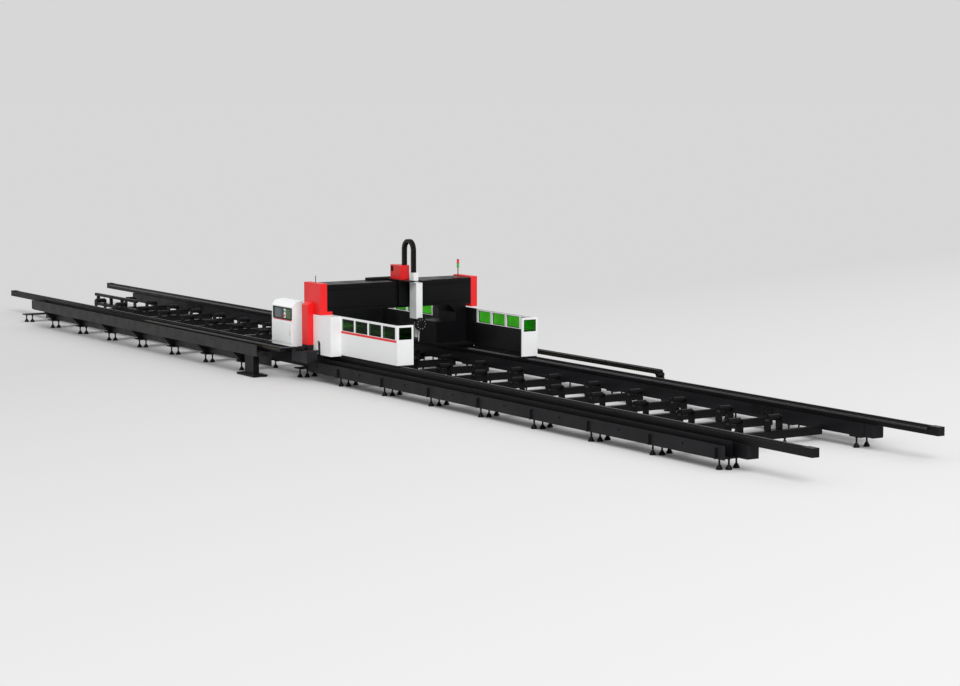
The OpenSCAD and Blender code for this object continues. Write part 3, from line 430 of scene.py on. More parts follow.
# %% Paint the solids
FINISHES = {
    bed_black: ["rail_bars", "cross_beams", "roller_stands", "end_frame", "foot_plates", "tray_post"],
    beam_grey: ["rail_beams", "near_gutter", "far_chain_tray"],
    tray_grey: ["chain_tray"],
    bracket_grey: ["near_tow_bracket", "far_tow_bracket"],
    rail_steel: ["guide_rails", "racks", "guide_blocks"],
    roller_steel: ["support_rollers"],
    foot_steel: ["levelling_feet"],
    gantry_black: ["saddles", "legs", "gantry_beam", "beam_rails", "console_shelf", "signal_rod", "carriage"],
    signal_red: ["end_boxes", "cable_duct", "drive_box"],
    console_paint: ["console"],
    painted_lit_white_paint: ["console_door"],
    cover_paint: ["leg_covers"],
    screen_paint: ["near_screen", "far_screen", "rear_screen"],
    window_green: ["window_panes"],
    panel_green: ["console_panel"],
    display_glow: ["console_display"],
    button_green: ["start_button"],
    button_red: ["stop_button"],
    pole_red: ["stack_pole"],
    lamp_green: ["green_lamp"],
    lamp_red: ["red_lamp"],
    column_paint: ["column"],
    head_black: ["rotary_head"],
    silver_with_painted_reflection: ["tilting_head"],
    chain_plastic: [name for name in nodes if "_bend_" in name or "_chain_" in name and "tray" not in name],
}
for finish, names in FINISHES.items():
    for name in names:
        mesh = nodes[name].data
        mesh.materials.clear()
        mesh.materials.append(finish)
print("painted:", sum(len(names) for names in FINISHES.values()))

# %% [markdown]
# ## Tools for the fittings
# Bolts, nuts, teeth and links repeat by the hundred. Each is shaped once as a small mesh, and a Geometry
# Nodes tree sets copies of it on a row, on chosen spots or along a path. The tree realises the copies and
# gives them their finish, and the result is kept as a plain mesh, because instances would not be exported.

# %% Small shapes
X, Y, Z = range(3)


def by_axis(order, values):
    """A point from its values along the axes in order."""
    at = Vector()
    for axis, value in zip(order, values):
        at[axis] = value
    return at


def add_turned(bm, profile, sides, spot=(0, 0, 0)):
    """A turned shape about Z: the profile is (radius, height) from bottom to top."""
    rings = []
    for radius, height in profile:
        turns = [2 * pi * (i + 0.5) / sides for i in range(sides)]
        rings.append([bm.verts.new((spot[0] + radius * cos(a), spot[1] + radius * sin(a), spot[2] + height))
                      for a in turns])
    bm.faces.new(rings[0])
    bm.faces.new(rings[-1])
    for lower, upper in zip(rings, rings[1:]):
        for i in range(sides):
            j = (i + 1) % sides
            bm.faces.new((lower[i], lower[j], upper[j], upper[i]))


def add_prism(bm, outline, low, high, order=(X, Z, Y)):
    """An outline drawn on the first two axes of order, drawn out along the third."""
    rings = [[bm.verts.new(by_axis(order, (*point, level))) for point in outline] for level in (low, high)]
    bm.faces.new(rings[0])
    bm.faces.new(rings[1])
    for i in range(len(outline)):
        j = (i + 1) % len(outline)
        bm.faces.new((rings[0][i], rings[0][j], rings[1][j], rings[1][i]))


def chamfered(low, high, cut):
    """A rectangle between two corners with its corners cut off."""
    (a0, b0), (a1, b1) = low, high
    return [(a0 + cut, b0), (a1 - cut, b0), (a1, b0 + cut), (a1, b1 - cut),
            (a1 - cut, b1), (a0 + cut, b1), (a0, b1 - cut), (a0, b0 + cut)]


def add_plate(bm, low, high, cut):
    """An upright plate between two corners, thin across the bed, its outline chamfered."""
    (x0, y0, z0), (x1, y1, z1) = low, high
    add_prism(bm, chamfered((x0, z0), (x1, z1), cut), y0, y1)


def shape(name, *parts):
    """A mesh object with its faces turned outwards: each part is an add function and the values it needs."""
    bm = bmesh.new()
    for add, *values in parts:
        add(bm, *values)
    bmesh.ops.recalc_face_normals(bm, faces=bm.faces)
    mesh = bpy.data.meshes.new(name)
    bm.to_mesh(mesh)
    bm.free()
    return bpy.data.objects.new(name, mesh)


HEAD_SHOULDER, HEAD_TOP = 0.8, 0.84


def hexagon_head(width, height):
    """A bolt head or a nut: a hexagon with its upper corners turned off."""
    radius = width / 2 / cos(pi / 6)
    return add_turned, [(radius, 0), (radius, HEAD_SHOULDER * height), (HEAD_TOP * radius, height)], 6


# %% The trees
def new_tree(name, *inputs):
    """An empty Geometry Nodes tree with named inputs, and its two ends."""
    tree = bpy.data.node_groups.new(name, "GeometryNodeTree")
    tree.interface.new_socket("Geometry", in_out="INPUT", socket_type="NodeSocketGeometry")
    for label, kind in inputs:
        tree.interface.new_socket(label, in_out="INPUT", socket_type="NodeSocket" + kind)
    tree.interface.new_socket("Geometry", in_out="OUTPUT", socket_type="NodeSocketGeometry")
    entry, leave = tree.nodes.new("NodeGroupInput"), tree.nodes.new("NodeGroupOutput")
    return tree, entry.outputs, leave.inputs["Geometry"]


def finished(tree, geometry, finish):
    """Realises what a tree has made and gives it its finish."""
    real = add_node(tree, "GeometryNodeRealizeInstances", {"Geometry": geometry}).outputs["Geometry"]
    coated = add_node(tree, "GeometryNodeSetMaterial", {"Geometry": real, "Material": finish})
    return coated.outputs["Geometry"]


def set_copies(tree, entry, points, rotation, piece="Piece", finish="Finish"):
    """Sets finished copies of a piece on points."""
    pattern = add_node(tree, "GeometryNodeObjectInfo", {"Object": entry[piece]}).outputs["Geometry"]
    copies = add_node(tree, "GeometryNodeInstanceOnPoints", {
        "Points": points, "Instance": pattern, "Rotation": rotation, "Scale": entry["Stretch"]})
    return finished(tree, copies.outputs["Instances"], entry[finish])


def turn_node(tree, entry):
    """The Turn input, three angles, as a rotation."""
    return add_node(tree, "FunctionNodeEulerToRotation", {"Euler": entry["Turn"]}).outputs["Rotation"]


COPY_INPUTS = [("Piece", "Object"), ("Finish", "Material"), ("Stretch", "Vector")]

row_tree, entry, leave = new_tree(
    "copies_in_a_row", *COPY_INPUTS, ("Turn", "Vector"), ("Count", "Int"), ("Start", "Vector"),
    ("Step", "Vector"))
line = add_node(row_tree, "GeometryNodeMeshLine", {
    "Count": entry["Count"], "Start Location": entry["Start"], "Offset": entry["Step"]})
row_tree.links.new(set_copies(row_tree, entry, line.outputs["Mesh"], turn_node(row_tree, entry)), leave)

spot_tree, entry, leave = new_tree("copies_on_spots", *COPY_INPUTS, ("Turn", "Vector"))
spot_tree.links.new(set_copies(spot_tree, entry, entry["Geometry"], turn_node(spot_tree, entry)), leave)

path_tree, entry, leave = new_tree(
    "links_on_a_path", *COPY_INPUTS, ("Pin", "Object"), ("Pin Finish", "Material"), ("Count", "Int"),
    ("Width Axis", "Vector"))
curve = add_node(path_tree, "GeometryNodeMeshToCurve", {"Mesh": entry["Geometry"]}).outputs["Curve"]
marks = add_node(path_tree, "GeometryNodeCurveToPoints", {"Curve": curve, "Count": entry["Count"]})
aim = add_node(path_tree, "FunctionNodeAxesToRotation", {
    "Primary Axis": marks.outputs["Tangent"], "Secondary Axis": entry["Width Axis"]})
aim.primary_axis, aim.secondary_axis = "X", "Y"
both = path_tree.nodes.new("GeometryNodeJoinGeometry")
for piece, finish in (("Piece", "Finish"), ("Pin", "Pin Finish")):
    made = set_copies(path_tree, entry, marks.outputs["Points"], aim.outputs["Rotation"], piece, finish)
    path_tree.links.new(made, both.inputs["Geometry"])
path_tree.links.new(both.outputs["Geometry"], leave)
print("trees:", [tree.name for tree in (row_tree, spot_tree, path_tree)])


# %% Run a tree and keep its mesh
def grow(name, tree, values, points=((0, 0, 0),), edges=()):
    """Runs a tree on points and keeps what it makes as a plain mesh."""
    seed = bpy.data.meshes.new(name + "_seed")
    seed.from_pydata(points, edges, [])
    holder = add_object(name, seed)
    modifier = holder.modifiers.new("grow", "NODES")
    modifier.node_group = tree
    values = {"Stretch": (1.0, 1.0, 1.0), "Turn": (0.0, 0.0, 0.0), **values}
    for item in tree.interface.items_tree:
        if item.item_type == "SOCKET" and item.in_out == "INPUT" and item.name in values:
            modifier[item.identifier] = values[item.name]
    grown = bpy.data.meshes.new_from_object(holder.evaluated_get(bpy.context.evaluated_depsgraph_get()))
    holder.modifiers.remove(modifier)
    holder.data = grown
    bpy.data.meshes.remove(seed)
    grown.name = name
    return holder


def fit(piece, body):
    """Sets a finished piece on its body."""
    if not piece.users_collection:
        bpy.context.collection.objects.link(piece)
    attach(piece, body)
    print(piece.name, "on", body, "faces:", len(piece.data.polygons))


def coat(piece, finish):
    """Gives a mesh made by hand its finish."""
    piece.data.materials.append(finish)
    return piece


def fit_plates(name, boxes, cut, finish, body):
    """Upright plates between pairs of corners, as one finished piece on its body."""
    parts = [(add_plate, low, high, cut) for low, high in boxes]
    fit(coat(shape(name, *parts), finish), body)


def fit_copies(name, piece, finish, spots, body, turn=(0.0, 0.0, 0.0)):
    """Copies of a small shape on chosen spots, as one finished piece on its body."""
    fit(grow(name, spot_tree, {"Piece": piece, "Finish": finish, "Turn": turn}, spots), body)


def solids_of(name):
    """Lowest and highest corner of each separate solid in a node."""
    bm = bmesh.new()
    bm.from_mesh(nodes[name].data)
    bmesh.ops.remove_doubles(bm, verts=bm.verts, dist=1e-5)
    left = set(bm.verts)
    found = []
    while left:
        group = [left.pop()]
        for vert in group:
            for edge in vert.link_edges:
                other = edge.other_vert(vert)
                if other in left:
                    left.discard(other)
                    group.append(other)
        low = Vector([min(vert.co[i] for vert in group) for i in range(3)])
        high = Vector([max(vert.co[i] for vert in group) for i in range(3)])
        found.append((low, high))
    bm.free()
    return sorted(found, key=lambda box: tuple(box[0]))


# %% [markdown]
# ## Drag chains
# A drag chain is a string of moulded links with a lid above and below and a pin at each joint. Each chain
# has a run that lies still, a run that is pulled, and a bend between them that rolls along at half the
# speed.

# %% One link and its pins
PIN_PROUD = 0.003
LID_SUNK = 0.002
PLATE_REACH, PLATE_THICK, PLATE_CUT = 0.49, 0.085, 0.2
LID_REACH, LID_THICK, LID_CUT = 0.44, 0.09, 0.1
CORE_REACH, CORE_HEIGHT = 0.5, 0.36
PIN_RADIUS, PIN_SIDES = 0.10, 8
PATH_STEPS = 4


def link_shape(pitch, height, width):
    """A link: two side plates with cut corners, a lid above and below, and the filled core between them."""
    side, half = PLATE_THICK * width, width / 2 - PIN_PROUD
    end = PLATE_REACH * pitch
    outline = chamfered((-end, -height / 2), (end, height / 2), PLATE_CUT * min(pitch, height))
    parts = [(add_prism, outline, at, at + side) for at in (-half, half - side)]
    lid = LID_THICK * height
    lid_top = height / 2 - LID_SUNK
    core_top = CORE_HEIGHT * height
    for reach, base, top in ((LID_REACH, lid_top - lid, lid_top), (LID_REACH, -lid_top, lid - lid_top),
                             (CORE_REACH, -core_top, core_top)):
        low, high = (-reach * pitch, side - half, base), (reach * pitch, half - side, top)
        parts.append((add_plate, low, high, LID_CUT * lid))
    return shape("link", *parts)


def pin_shape(pitch, height, width):
    """The two pin heads at a link's joint, proud of its side plates."""
    radius, at = PIN_RADIUS * height, width / 2 - PIN_PROUD
    turns = [2 * pi * i / PIN_SIDES for i in range(PIN_SIDES)]
    ring = [(PLATE_REACH * pitch + radius * cos(a), radius * sin(a)) for a in turns]
    return shape("pin", *((add_prism, ring, s * at, s * (at + PIN_PROUD)) for s in (-1, 1)))


def point_at(points, spans, distance):
    """The point that far along a path."""
    for start, end, span in zip(points, points[1:], spans):
        if distance <= span + 1e-9:
            return Vector(start).lerp(Vector(end), distance / span)
        distance -= span
    return Vector(points[-1])


def chain_piece(name, points, chain):
    """Links and pins along a path of two links or more, half a link in from each of its ends."""
    *sizes, width_axis = chain
    pitch = sizes[0]
    spans = [(Vector(b) - Vector(a)).length for a, b in zip(points, points[1:])]
    count = round(sum(spans) / pitch)
    step = sum(spans) / count
    marks_at = [step * (0.5 + i / PATH_STEPS) for i in range(PATH_STEPS * (count - 1) + 1)]
    path = [point_at(points, spans, distance) for distance in marks_at]
    values = {"Piece": link_shape(*sizes), "Finish": chain_plastic, "Pin": pin_shape(*sizes),
              "Pin Finish": plug_brass, "Count": count, "Width Axis": width_axis,
              "Stretch": (step / pitch, 1.0, 1.0)}
    return grow(name, path_tree, values, path, [(i, i + 1) for i in range(len(path) - 1)])


# %% The four chains
ARC_STEPS = 24


def quarter(centre, radius, first, second):
    """Points of a quarter circle that goes from one direction to another."""
    turns = [pi / 2 * i / ARC_STEPS for i in range(ARC_STEPS + 1)]
    return [centre + radius * (cos(a) * first + sin(a) * second) for a in turns]


ALONG, ACROSS, UP = (1.0, 0.0, 0.0), (0.0, 1.0, 0.0), (0.0, 0.0, 1.0)


def middle(name):
    """The middle of a node's box."""
    low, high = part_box(name)
    return (low + high) / 2


def run_ends(name, axis, bend):
    """The two ends of a run along its axis: where it is held, and where it meets the bend."""
    ends = []
    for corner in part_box(name):
        end = middle(name)
        end[axis] = corner[axis]
        ends.append(end)
    ends.sort(key=lambda point: abs(point[axis] - bend))
    return ends[1], ends[0]


def lay_chain(label, axis, radial, chain, still, pulled):
    """Both runs and both halves of the bend of one chain; still and pulled give each half's names."""
    run_ends_at = [corner[axis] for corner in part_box(still["run"])]
    bend_ends_at = [corner[axis] for half in (still, pulled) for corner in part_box(half["bend"])]
    touching = min(bend_ends_at, key=lambda value: min(abs(value - end) for end in run_ends_at))
    outward = 1 if middle(still["bend"])[axis] > touching else -1
    centre, other = middle(still["run"]), middle(pulled["run"])
    radius = abs(other[radial] - centre[radial]) / 2
    units = [Vector(unit) for unit in (ALONG, ACROSS, UP)]
    to_still = units[radial] * (1 if centre[radial] > other[radial] else -1)
    centre[axis], centre[radial] = touching, (centre[radial] + other[radial]) / 2
    for half, side in ((still, to_still), (pulled, -to_still)):
        held, meeting = run_ends(half["run"], axis, touching)
        run = chain_piece(label + "_" + half["name"] + "_links", [held, meeting], chain)
        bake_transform(run)
        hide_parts(half["run"])
        arc = quarter(centre, radius, side, units[axis] * outward)
        bend = chain_piece(label + "_" + half["name"] + "_bend_links", arc, chain)
        fit(bend, half["roller"])
        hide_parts(half["bend"])


# Pitch, height and width of a link, and the axis that its width lies along
BED_LINK = (0.077, 0.092, 0.180, ACROSS)
BEAM_LINK = (0.052, 0.084, 0.062, UP)
COLUMN_LINK = (0.055, 0.084, 0.110, ACROSS)
CHAINS = [
    ("near", X, Z, BED_LINK, ("bed", "gantry"), ("lower", "upper"), ("lower", "upper")),
    ("far", X, Z, BED_LINK, ("bed", "gantry"), ("lower", "upper"), ("lower", "upper")),
    ("beam", Y, X, BEAM_LINK, ("gantry", "carriage"), ("fixed", "moving"), ("still", "moving")),
    ("column", Z, X, COLUMN_LINK, ("carriage", "ram"), ("fixed", "moving"), ("still", "moving")),
]
for label, axis, radial, link, holders, bends, rollers in CHAINS:
    halves = [{"name": name, "run": f"{label}_chain_{name}", "bend": f"{label}_bend_{bend}", "holder": holder,
               "roller": f"{label}_{roller}_bend"}
              for name, bend, holder, roller in zip(("fixed", "moving"), bends, holders, rollers)]
    lay_chain(label + "_chain", axis, radial, link, *halves)

# %% [markdown]
# ## Rails and racks
# A gear rack runs along the inner side of each rail bar, and the portal's pinions climb along it. Its teeth
# slant a little so that they mesh quietly. The guide rails on the bars are bolted down every 120 mm, and
# brass plugs close the bolt holes. Both are plain rows, so one tooth and one plug are enough.

# %% Rack teeth and rail plugs
TOOTH_PITCH = 0.025
TOOTH_DEPTH = 0.008
TOOTH_SLANT = 0.35
TOOTH_FOOT, TOOTH_TIP, TOOTH_SUNK = 0.0085, 0.004, 0.001
PLUG_PITCH = 0.12
PLUG_PROFILE = [(0.009, -0.001), (0.009, 0.0008), (0.007, 0.0014)]

flank = [(-TOOTH_FOOT, -TOOTH_SUNK), (TOOTH_FOOT, -TOOTH_SUNK), (TOOTH_TIP, TOOTH_DEPTH),
         (-TOOTH_TIP, TOOTH_DEPTH)]
racks = sorted(solids_of("racks"), key=lambda box: box[0].y)
for label, turn, (low, high) in zip(("near", "far"), (0.0, pi), racks):
    tooth = shape("tooth", (add_prism, flank, 0, high.z - low.z, (X, Y, Z)))
    for vert in tooth.data.vertices:
        vert.co.x += TOOTH_SLANT * vert.co.z
    values = {"Piece": tooth, "Finish": rail_steel, "Turn": (0.0, 0.0, turn),
              "Count": int((high.x - low.x) / TOOTH_PITCH) - 1, "Step": (TOOTH_PITCH, 0.0, 0.0),
              "Start": (low.x + TOOTH_PITCH, low.y if turn else high.y, low.z)}
    fit(grow(label + "_rack_teeth", row_tree, values), "bed")

plug = shape("plug", (add_turned, PLUG_PROFILE, 8))
for label, (low, high) in zip(("near", "far"), sorted(solids_of("guide_rails"), key=lambda box: box[0].y)):
    values = {"Piece": plug, "Finish": plug_brass, "Count": int((high.x - low.x) / PLUG_PITCH),
              "Step": (PLUG_PITCH, 0.0, 0.0),
              "Start": (low.x + PLUG_PITCH / 2, (low.y + high.y) / 2, high.z)}
    fit(grow(label + "_rail_plugs", row_tree, values), "bed")

# %% [markdown]
# ## Feet and stands
# Every levelling foot is a pad on a threaded screw, locked by a nut under its plate. The places come from
# the solids themselves, so the nuts stay on the feet if the feet move. A bell of cast iron sits on each pad,
# and the near plates have one more foot each. Each roller stand has a keeper plate with two bolts at either
# end of its axle.

# %% Lock nuts, bells and second feet
NUT_WIDTH, NUT_HEIGHT = 0.048, 0.024
SCREW_LEAST = 0.06
PAD_HEIGHT = 0.024
BELL = [(0.060, 0), (0.060, 0.006), (0.050, 0.022), (0.036, 0.046), (0.028, 0.062), (0.022, 0.066)]
SECOND_PAD = [(0.062, 0), (0.062, 0.030), (0.050, 0.046), (0.036, 0.070), (0.028, 0.086), (0.018, 0.090)]
SECOND_SCREW = [(0.018, 0.085), (0.018, 0.181)]
SECOND_NUT = [(0.028, 0.178), (0.028, 0.205)]
SECOND_ALONG, SECOND_IN = 0.10, 0.21

feet = [box for box in solids_of("levelling_feet") if box[1].z - box[0].z > SCREW_LEAST]
nut = shape("nut", hexagon_head(NUT_WIDTH, NUT_HEIGHT))
spots = [((low.x + high.x) / 2, (low.y + high.y) / 2, high.z - NUT_HEIGHT) for low, high in feet]
fit_copies("lock_nuts", nut, foot_steel, spots, "bed")

pad_top = min(low.z for low, high in feet) + PAD_HEIGHT
bell = shape("bell", (add_turned, BELL, 16))
spots = [(x, y, pad_top) for x, y, z in spots]
fit_copies("foot_bells", bell, foot_steel, spots, "bed")

screw_foot = shape("screw_foot", (add_turned, SECOND_PAD, 16), (add_turned, SECOND_SCREW, 12),
                   (add_turned, SECOND_NUT, 6))
near_plates = [box for box in solids_of("foot_plates") if box[0].y < 0]
spots = [((low.x + high.x) / 2 + SECOND_ALONG, low.y + SECOND_IN, 0.0) for low, high in near_plates]
fit_copies("second_feet", screw_foot, foot_steel, spots, "bed")

# %% Axle keepers
KEEPER = Vector((0.055, 0.006, 0.022))
KEEPER_CUT = 0.006
KEEPER_BOLT, KEEPER_BOLT_X, KEEPER_BOLT_TOP = 0.019, 0.036, 0.014
AXLE_DROP = 0.045


def hexagon(width, x):
    """Corners of a hexagon of that width across its flats, moved along the first axis."""
    radius = width / 2 / cos(pi / 6)
    return [(x + radius * cos(pi / 3 * i), radius * sin(pi / 3 * i)) for i in range(6)]


bolts = [(add_prism, hexagon(KEEPER_BOLT, x), KEEPER.y, KEEPER_BOLT_TOP)
         for x in (-KEEPER_BOLT_X, KEEPER_BOLT_X)]
keeper = shape("keeper", (add_plate, (-KEEPER.x, 0, -KEEPER.z), KEEPER, KEEPER_CUT), *bolts)
axle_z = middle("support_rollers").z - AXLE_DROP
stands = solids_of("roller_stands")
for label, turn in (("far", 0.0), ("near", pi)):
    spots = [((low.x + high.x) / 2, low.y if turn else high.y, axle_z) for low, high in stands]
    fit_copies(label + "_axle_keepers", keeper, bolt_steel, spots, "bed", (0.0, 0.0, turn))

# %% [markdown]
# The gutter's outer wall is screwed to its brackets between the ribs, and bolted plates join the lengths of
# the far rail beam on its inner face.

# %% Gutter screws and joint plates
SCREW_Z = 0.36
SCREW_WIDTH, SCREW_HEIGHT = 0.036, 0.014
GUTTER_RIB = 0.040
JOINTS = [(-13.49, -13.09), (-12.95, -12.57), (12.87, 13.55)]
JOINT_LOW, JOINT_HIGH, JOINT_THICK = 0.315, 0.482, 0.012
BEAM_WIDTH = 0.27
BOLT_SHARES, BOLT_EDGE = (0.12, 0.37, 0.63, 0.88), 0.03

gutter_low, gutter_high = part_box("near_gutter")
plates = sorted((low.x + high.x) / 2 for low, high in near_plates)
bay = (plates[-1] - plates[0]) / (len(plates) - 1)
screw = shape("screw", hexagon_head(SCREW_WIDTH, SCREW_HEIGHT))
bay_middles = [x + bay / 2 for x in plates if gutter_low.x < x + bay / 2 < gutter_high.x]
spots = [(x, gutter_low.y + GUTTER_RIB, SCREW_Z) for x in bay_middles]
turn_out = (pi / 2, 0.0, 0.0)
fit_copies("gutter_screws", screw, bed_black, spots, "bed", turn_out)

far_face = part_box("rail_beams")[1].y - BEAM_WIDTH
joint_face = far_face - JOINT_THICK
boxes = [((a, joint_face, JOINT_LOW), (b, far_face, JOINT_HIGH)) for a, b in JOINTS]
fit_plates("beam_joint_plates", boxes, JOINT_THICK, bed_black, "bed")
spots = [(a + share * (b - a), joint_face, z) for a, b in JOINTS for share in BOLT_SHARES
         for z in (JOINT_LOW + BOLT_EDGE, JOINT_HIGH - BOLT_EDGE)]
fit_copies("joint_bolts", screw, bed_black, spots, "bed", turn_out)

# %% [markdown]
# ## Windows and trim
# A rubber gasket holds each pane in its opening, on both sides. A red stripe runs under the windows of the
# two front screens. The panes' own solids give the size and place of every gasket.

# %% Gaskets
def add_ring(bm, low, high, width, thin):
    """A flat frame between two corners, with the thin axis named."""
    order = [axis for axis in (X, Y, Z) if axis != thin] + [thin]
    (a0, b0, c0), (a1, b1, c1) = [[corner[axis] for axis in order] for corner in (low, high)]
    outlines = [[(a0 + w, b0 + w), (a1 - w, b0 + w), (a1 - w, b1 - w), (a0 + w, b1 - w)] for w in (0, width)]
    levels = [[[bm.verts.new(by_axis(order, (*point, level))) for point in ring] for ring in outlines]
              for level in (c0, c1)]
    for i in range(4):
        j = (i + 1) % 4
        for out, inn in levels:
            bm.faces.new((out[i], out[j], inn[j], inn[i]))
        for ring in (0, 1):
            bm.faces.new((levels[0][ring][i], levels[0][ring][j], levels[1][ring][j], levels[1][ring][i]))


GASKET_WIDTH = 0.014
GASKET_PROUD = 0.004
gaskets = []
for low, high in solids_of("window_panes"):
    thin = Y if high.y - low.y < high.x - low.x else X
    for face in (low[thin] - GASKET_PROUD, high[thin]):
        a, b = low.copy(), high.copy()
        a[thin], b[thin] = face, face + GASKET_PROUD
        gaskets.append((add_ring, a, b, GASKET_WIDTH, thin))
fit(coat(shape("window_gaskets", *gaskets), gasket_rubber), "gantry")

# %% Red stripes
STRIPE_LOW, STRIPE_HIGH = 1.182, 1.234
STRIPE_PROUD = 0.002
STRIPE_START, STRIPE_STOP = 0.01, 0.03
TRIM_CUT = 0.002
boxes = []
for side in (-1, 1):
    faces = sorted((side * wall_outside, side * (wall_outside + STRIPE_PROUD)))
    boxes.append(((screen_low.x + STRIPE_START, faces[0], STRIPE_LOW),
                  (screen_high.x - STRIPE_STOP, faces[1], STRIPE_HIGH)))
fit_plates("screen_stripes", boxes, TRIM_CUT, signal_red, "gantry")

# %% [markdown]
# A black rubber strip under each screen closes the slit above the rail bar, and keeps sparks in. It runs on
# a little way under the leg cover.

# %% Rubber strips
STRIP_GAP, STRIP_INSET = 0.002, 0.008
STRIP_SHORT, STRIP_PAST = 0.02, 0.12
bar_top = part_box("guide_rails")[0].z
front_run = (screen_low.x - STRIP_PAST, screen_high.x - STRIP_SHORT)
rear_run = (rear_low.x + STRIP_SHORT, rear_high.x + STRIP_PAST)
boxes = []
for side, (start, stop) in ((-1, front_run), (1, front_run), (1, rear_run)):
    faces = sorted((side * (wall_inside + STRIP_INSET), side * (wall_outside - STRIP_INSET)))
    boxes.append(((start, faces[0], bar_top + STRIP_GAP), (stop, faces[1], screen_low.z)))
fit_plates("screen_strips", boxes, TRIM_CUT, gasket_rubber, "gantry")

# %% [markdown]
# ## The console
# The operator's panel is a dark green plate in a black frame, with the screen on the left, a white strip
# with the two buttons in the middle and a field of soft keys on the right. A red line runs under it. The
# door below hangs on two barrels and has a small lever.

# %% Panel, keys and red line
FRAME_OUT, FRAME_WIDTH, FRAME_PROUD, FRAME_BACK = 0.012, 0.018, 0.004, 0.013
BUTTON_HALF, BUTTON_EDGE, BUTTON_PROUD, BUTTON_CUT = 0.046, 0.020, 0.0012, 0.006
KEY_X, KEY_Z, KEY_CUT, KEY_PROUD = 0.020, 0.014, 0.005, 0.004
KEY_MARGIN, KEY_LOWEST, KEY_PITCH = 0.045, 0.040, 0.044
KEY_COLUMNS, KEY_ROWS = 4, 5
LINE_LOW, LINE_HIGH, LINE_PROUD = 0.042, 0.018, 0.002

panel_low, panel_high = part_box("console_panel")
front = panel_low.y
frame_low = Vector((panel_low.x - FRAME_OUT, front - FRAME_PROUD, panel_low.z - FRAME_OUT))
frame_high = Vector((panel_high.x + FRAME_OUT, front + FRAME_BACK, panel_high.z + FRAME_OUT))
panel_frame = shape("panel_frame", (add_ring, frame_low, frame_high, FRAME_WIDTH, Y))
fit(coat(panel_frame, gasket_rubber), "gantry")

button_x = middle("start_button").x
strip_low = Vector((button_x - BUTTON_HALF, front - BUTTON_PROUD, panel_low.z + BUTTON_EDGE))
strip_high = Vector((button_x + BUTTON_HALF, front, panel_high.z - BUTTON_EDGE))
fit_plates("button_strip", [(strip_low, strip_high)], BUTTON_CUT, painted_lit_white_paint, "gantry")

key_outline = chamfered((-KEY_X, -KEY_Z), (KEY_X, KEY_Z), KEY_CUT)
key = shape("key", (add_prism, key_outline, -KEY_PROUD, 0.0))
key_start, key_stop = strip_high.x + KEY_MARGIN, panel_high.x - KEY_MARGIN
key_step = (key_stop - key_start) / (KEY_COLUMNS - 1)
spots = [(key_start + key_step * i, front, panel_low.z + KEY_LOWEST + KEY_PITCH * j)
         for i in range(KEY_COLUMNS) for j in range(KEY_ROWS)]
fit_copies("panel_keys", key, key_plastic, spots, "gantry")

console_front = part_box("console")[0].y
line_low = (panel_low.x, console_front - LINE_PROUD, panel_low.z - LINE_LOW)
line_high = (panel_high.x, console_front, panel_low.z - LINE_HIGH)
fit_plates("console_line", [(line_low, line_high)], TRIM_CUT, signal_red, "gantry")

# %% Door lever and barrels
LEVER_IN = 0.075
ROSE_X, ROSE_Z, ROSE_PROUD, ROSE_CUT = 0.022, 0.065, 0.004, 0.010
GRIP_X, GRIP_LOW, GRIP_HIGH, GRIP_PROUD, GRIP_CUT = 0.011, 0.050, 0.030, 0.012, 0.008
BARREL = [(0.005, 0), (0.007, 0.003), (0.007, 0.077), (0.005, 0.08)]
BARREL_LOW, BARREL_HIGH = 0.06, 0.14

lever_x, lever_z = door_high.x - LEVER_IN, (door_low.z + door_high.z) / 2
rose_face = door_low.y - ROSE_PROUD
lever = shape(
    "door_lever",
    (add_plate, (lever_x - ROSE_X, rose_face, lever_z - ROSE_Z),
     (lever_x + ROSE_X, door_low.y, lever_z + ROSE_Z), ROSE_CUT),
    (add_plate, (lever_x - GRIP_X, door_low.y - GRIP_PROUD, lever_z - GRIP_LOW),
     (lever_x + GRIP_X, rose_face, lever_z + GRIP_HIGH), GRIP_CUT))
fit(coat(lever, silver_with_painted_reflection), "door")
barrels = shape("door_barrels", *(
    (add_turned, BARREL, 12, (door_low.x, door_low.y, z))
    for z in (door_low.z + BARREL_LOW, door_high.z - BARREL_HIGH)))
fit(coat(barrels, bolt_steel), "gantry")

# %% [markdown]
# ## Carriage, head and lamps
# The drive box breathes through a louvre on its side. The round housing of the rotary head is closed by a
# cover with a ring of bolts, and black rings part the lenses of the lamp.

# %% Louvre
LOUVRE_START, LOUVRE_STOP, LOUVRE_DROP, LOUVRE_TOP = 0.030, 0.130, 0.155, 0.030
LOUVRE_PROUD, LOUVRE_CUT = 0.003, 0.004
SLAT_OUTLINE = [(0.0, 0.0), (-0.010, -0.004), (-0.010, -0.007), (0.0, -0.002)]
SLAT_HALF, SLAT_COUNT, SLAT_STEP, SLAT_FIRST = 0.044, 6, 0.018, 0.020

box_low, box_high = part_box("drive_box")
louvre_low = Vector((box_low.x + LOUVRE_START, box_low.y - LOUVRE_PROUD, box_high.z - LOUVRE_DROP))
louvre_high = Vector((box_low.x + LOUVRE_STOP, box_low.y, box_high.z - LOUVRE_TOP))
fit_plates("louvre_plate", [(louvre_low, louvre_high)], LOUVRE_CUT, gasket_rubber, "carriage")
slat = shape("slat", (add_prism, SLAT_OUTLINE, -SLAT_HALF, SLAT_HALF, (Y, Z, X)))
values = {"Piece": slat, "Finish": gantry_black, "Count": SLAT_COUNT, "Step": (0.0, 0.0, SLAT_STEP),
          "Start": ((louvre_low.x + louvre_high.x) / 2, louvre_low.y, louvre_low.z + SLAT_FIRST)}
fit(grow("louvre_slats", row_tree, values), "carriage")

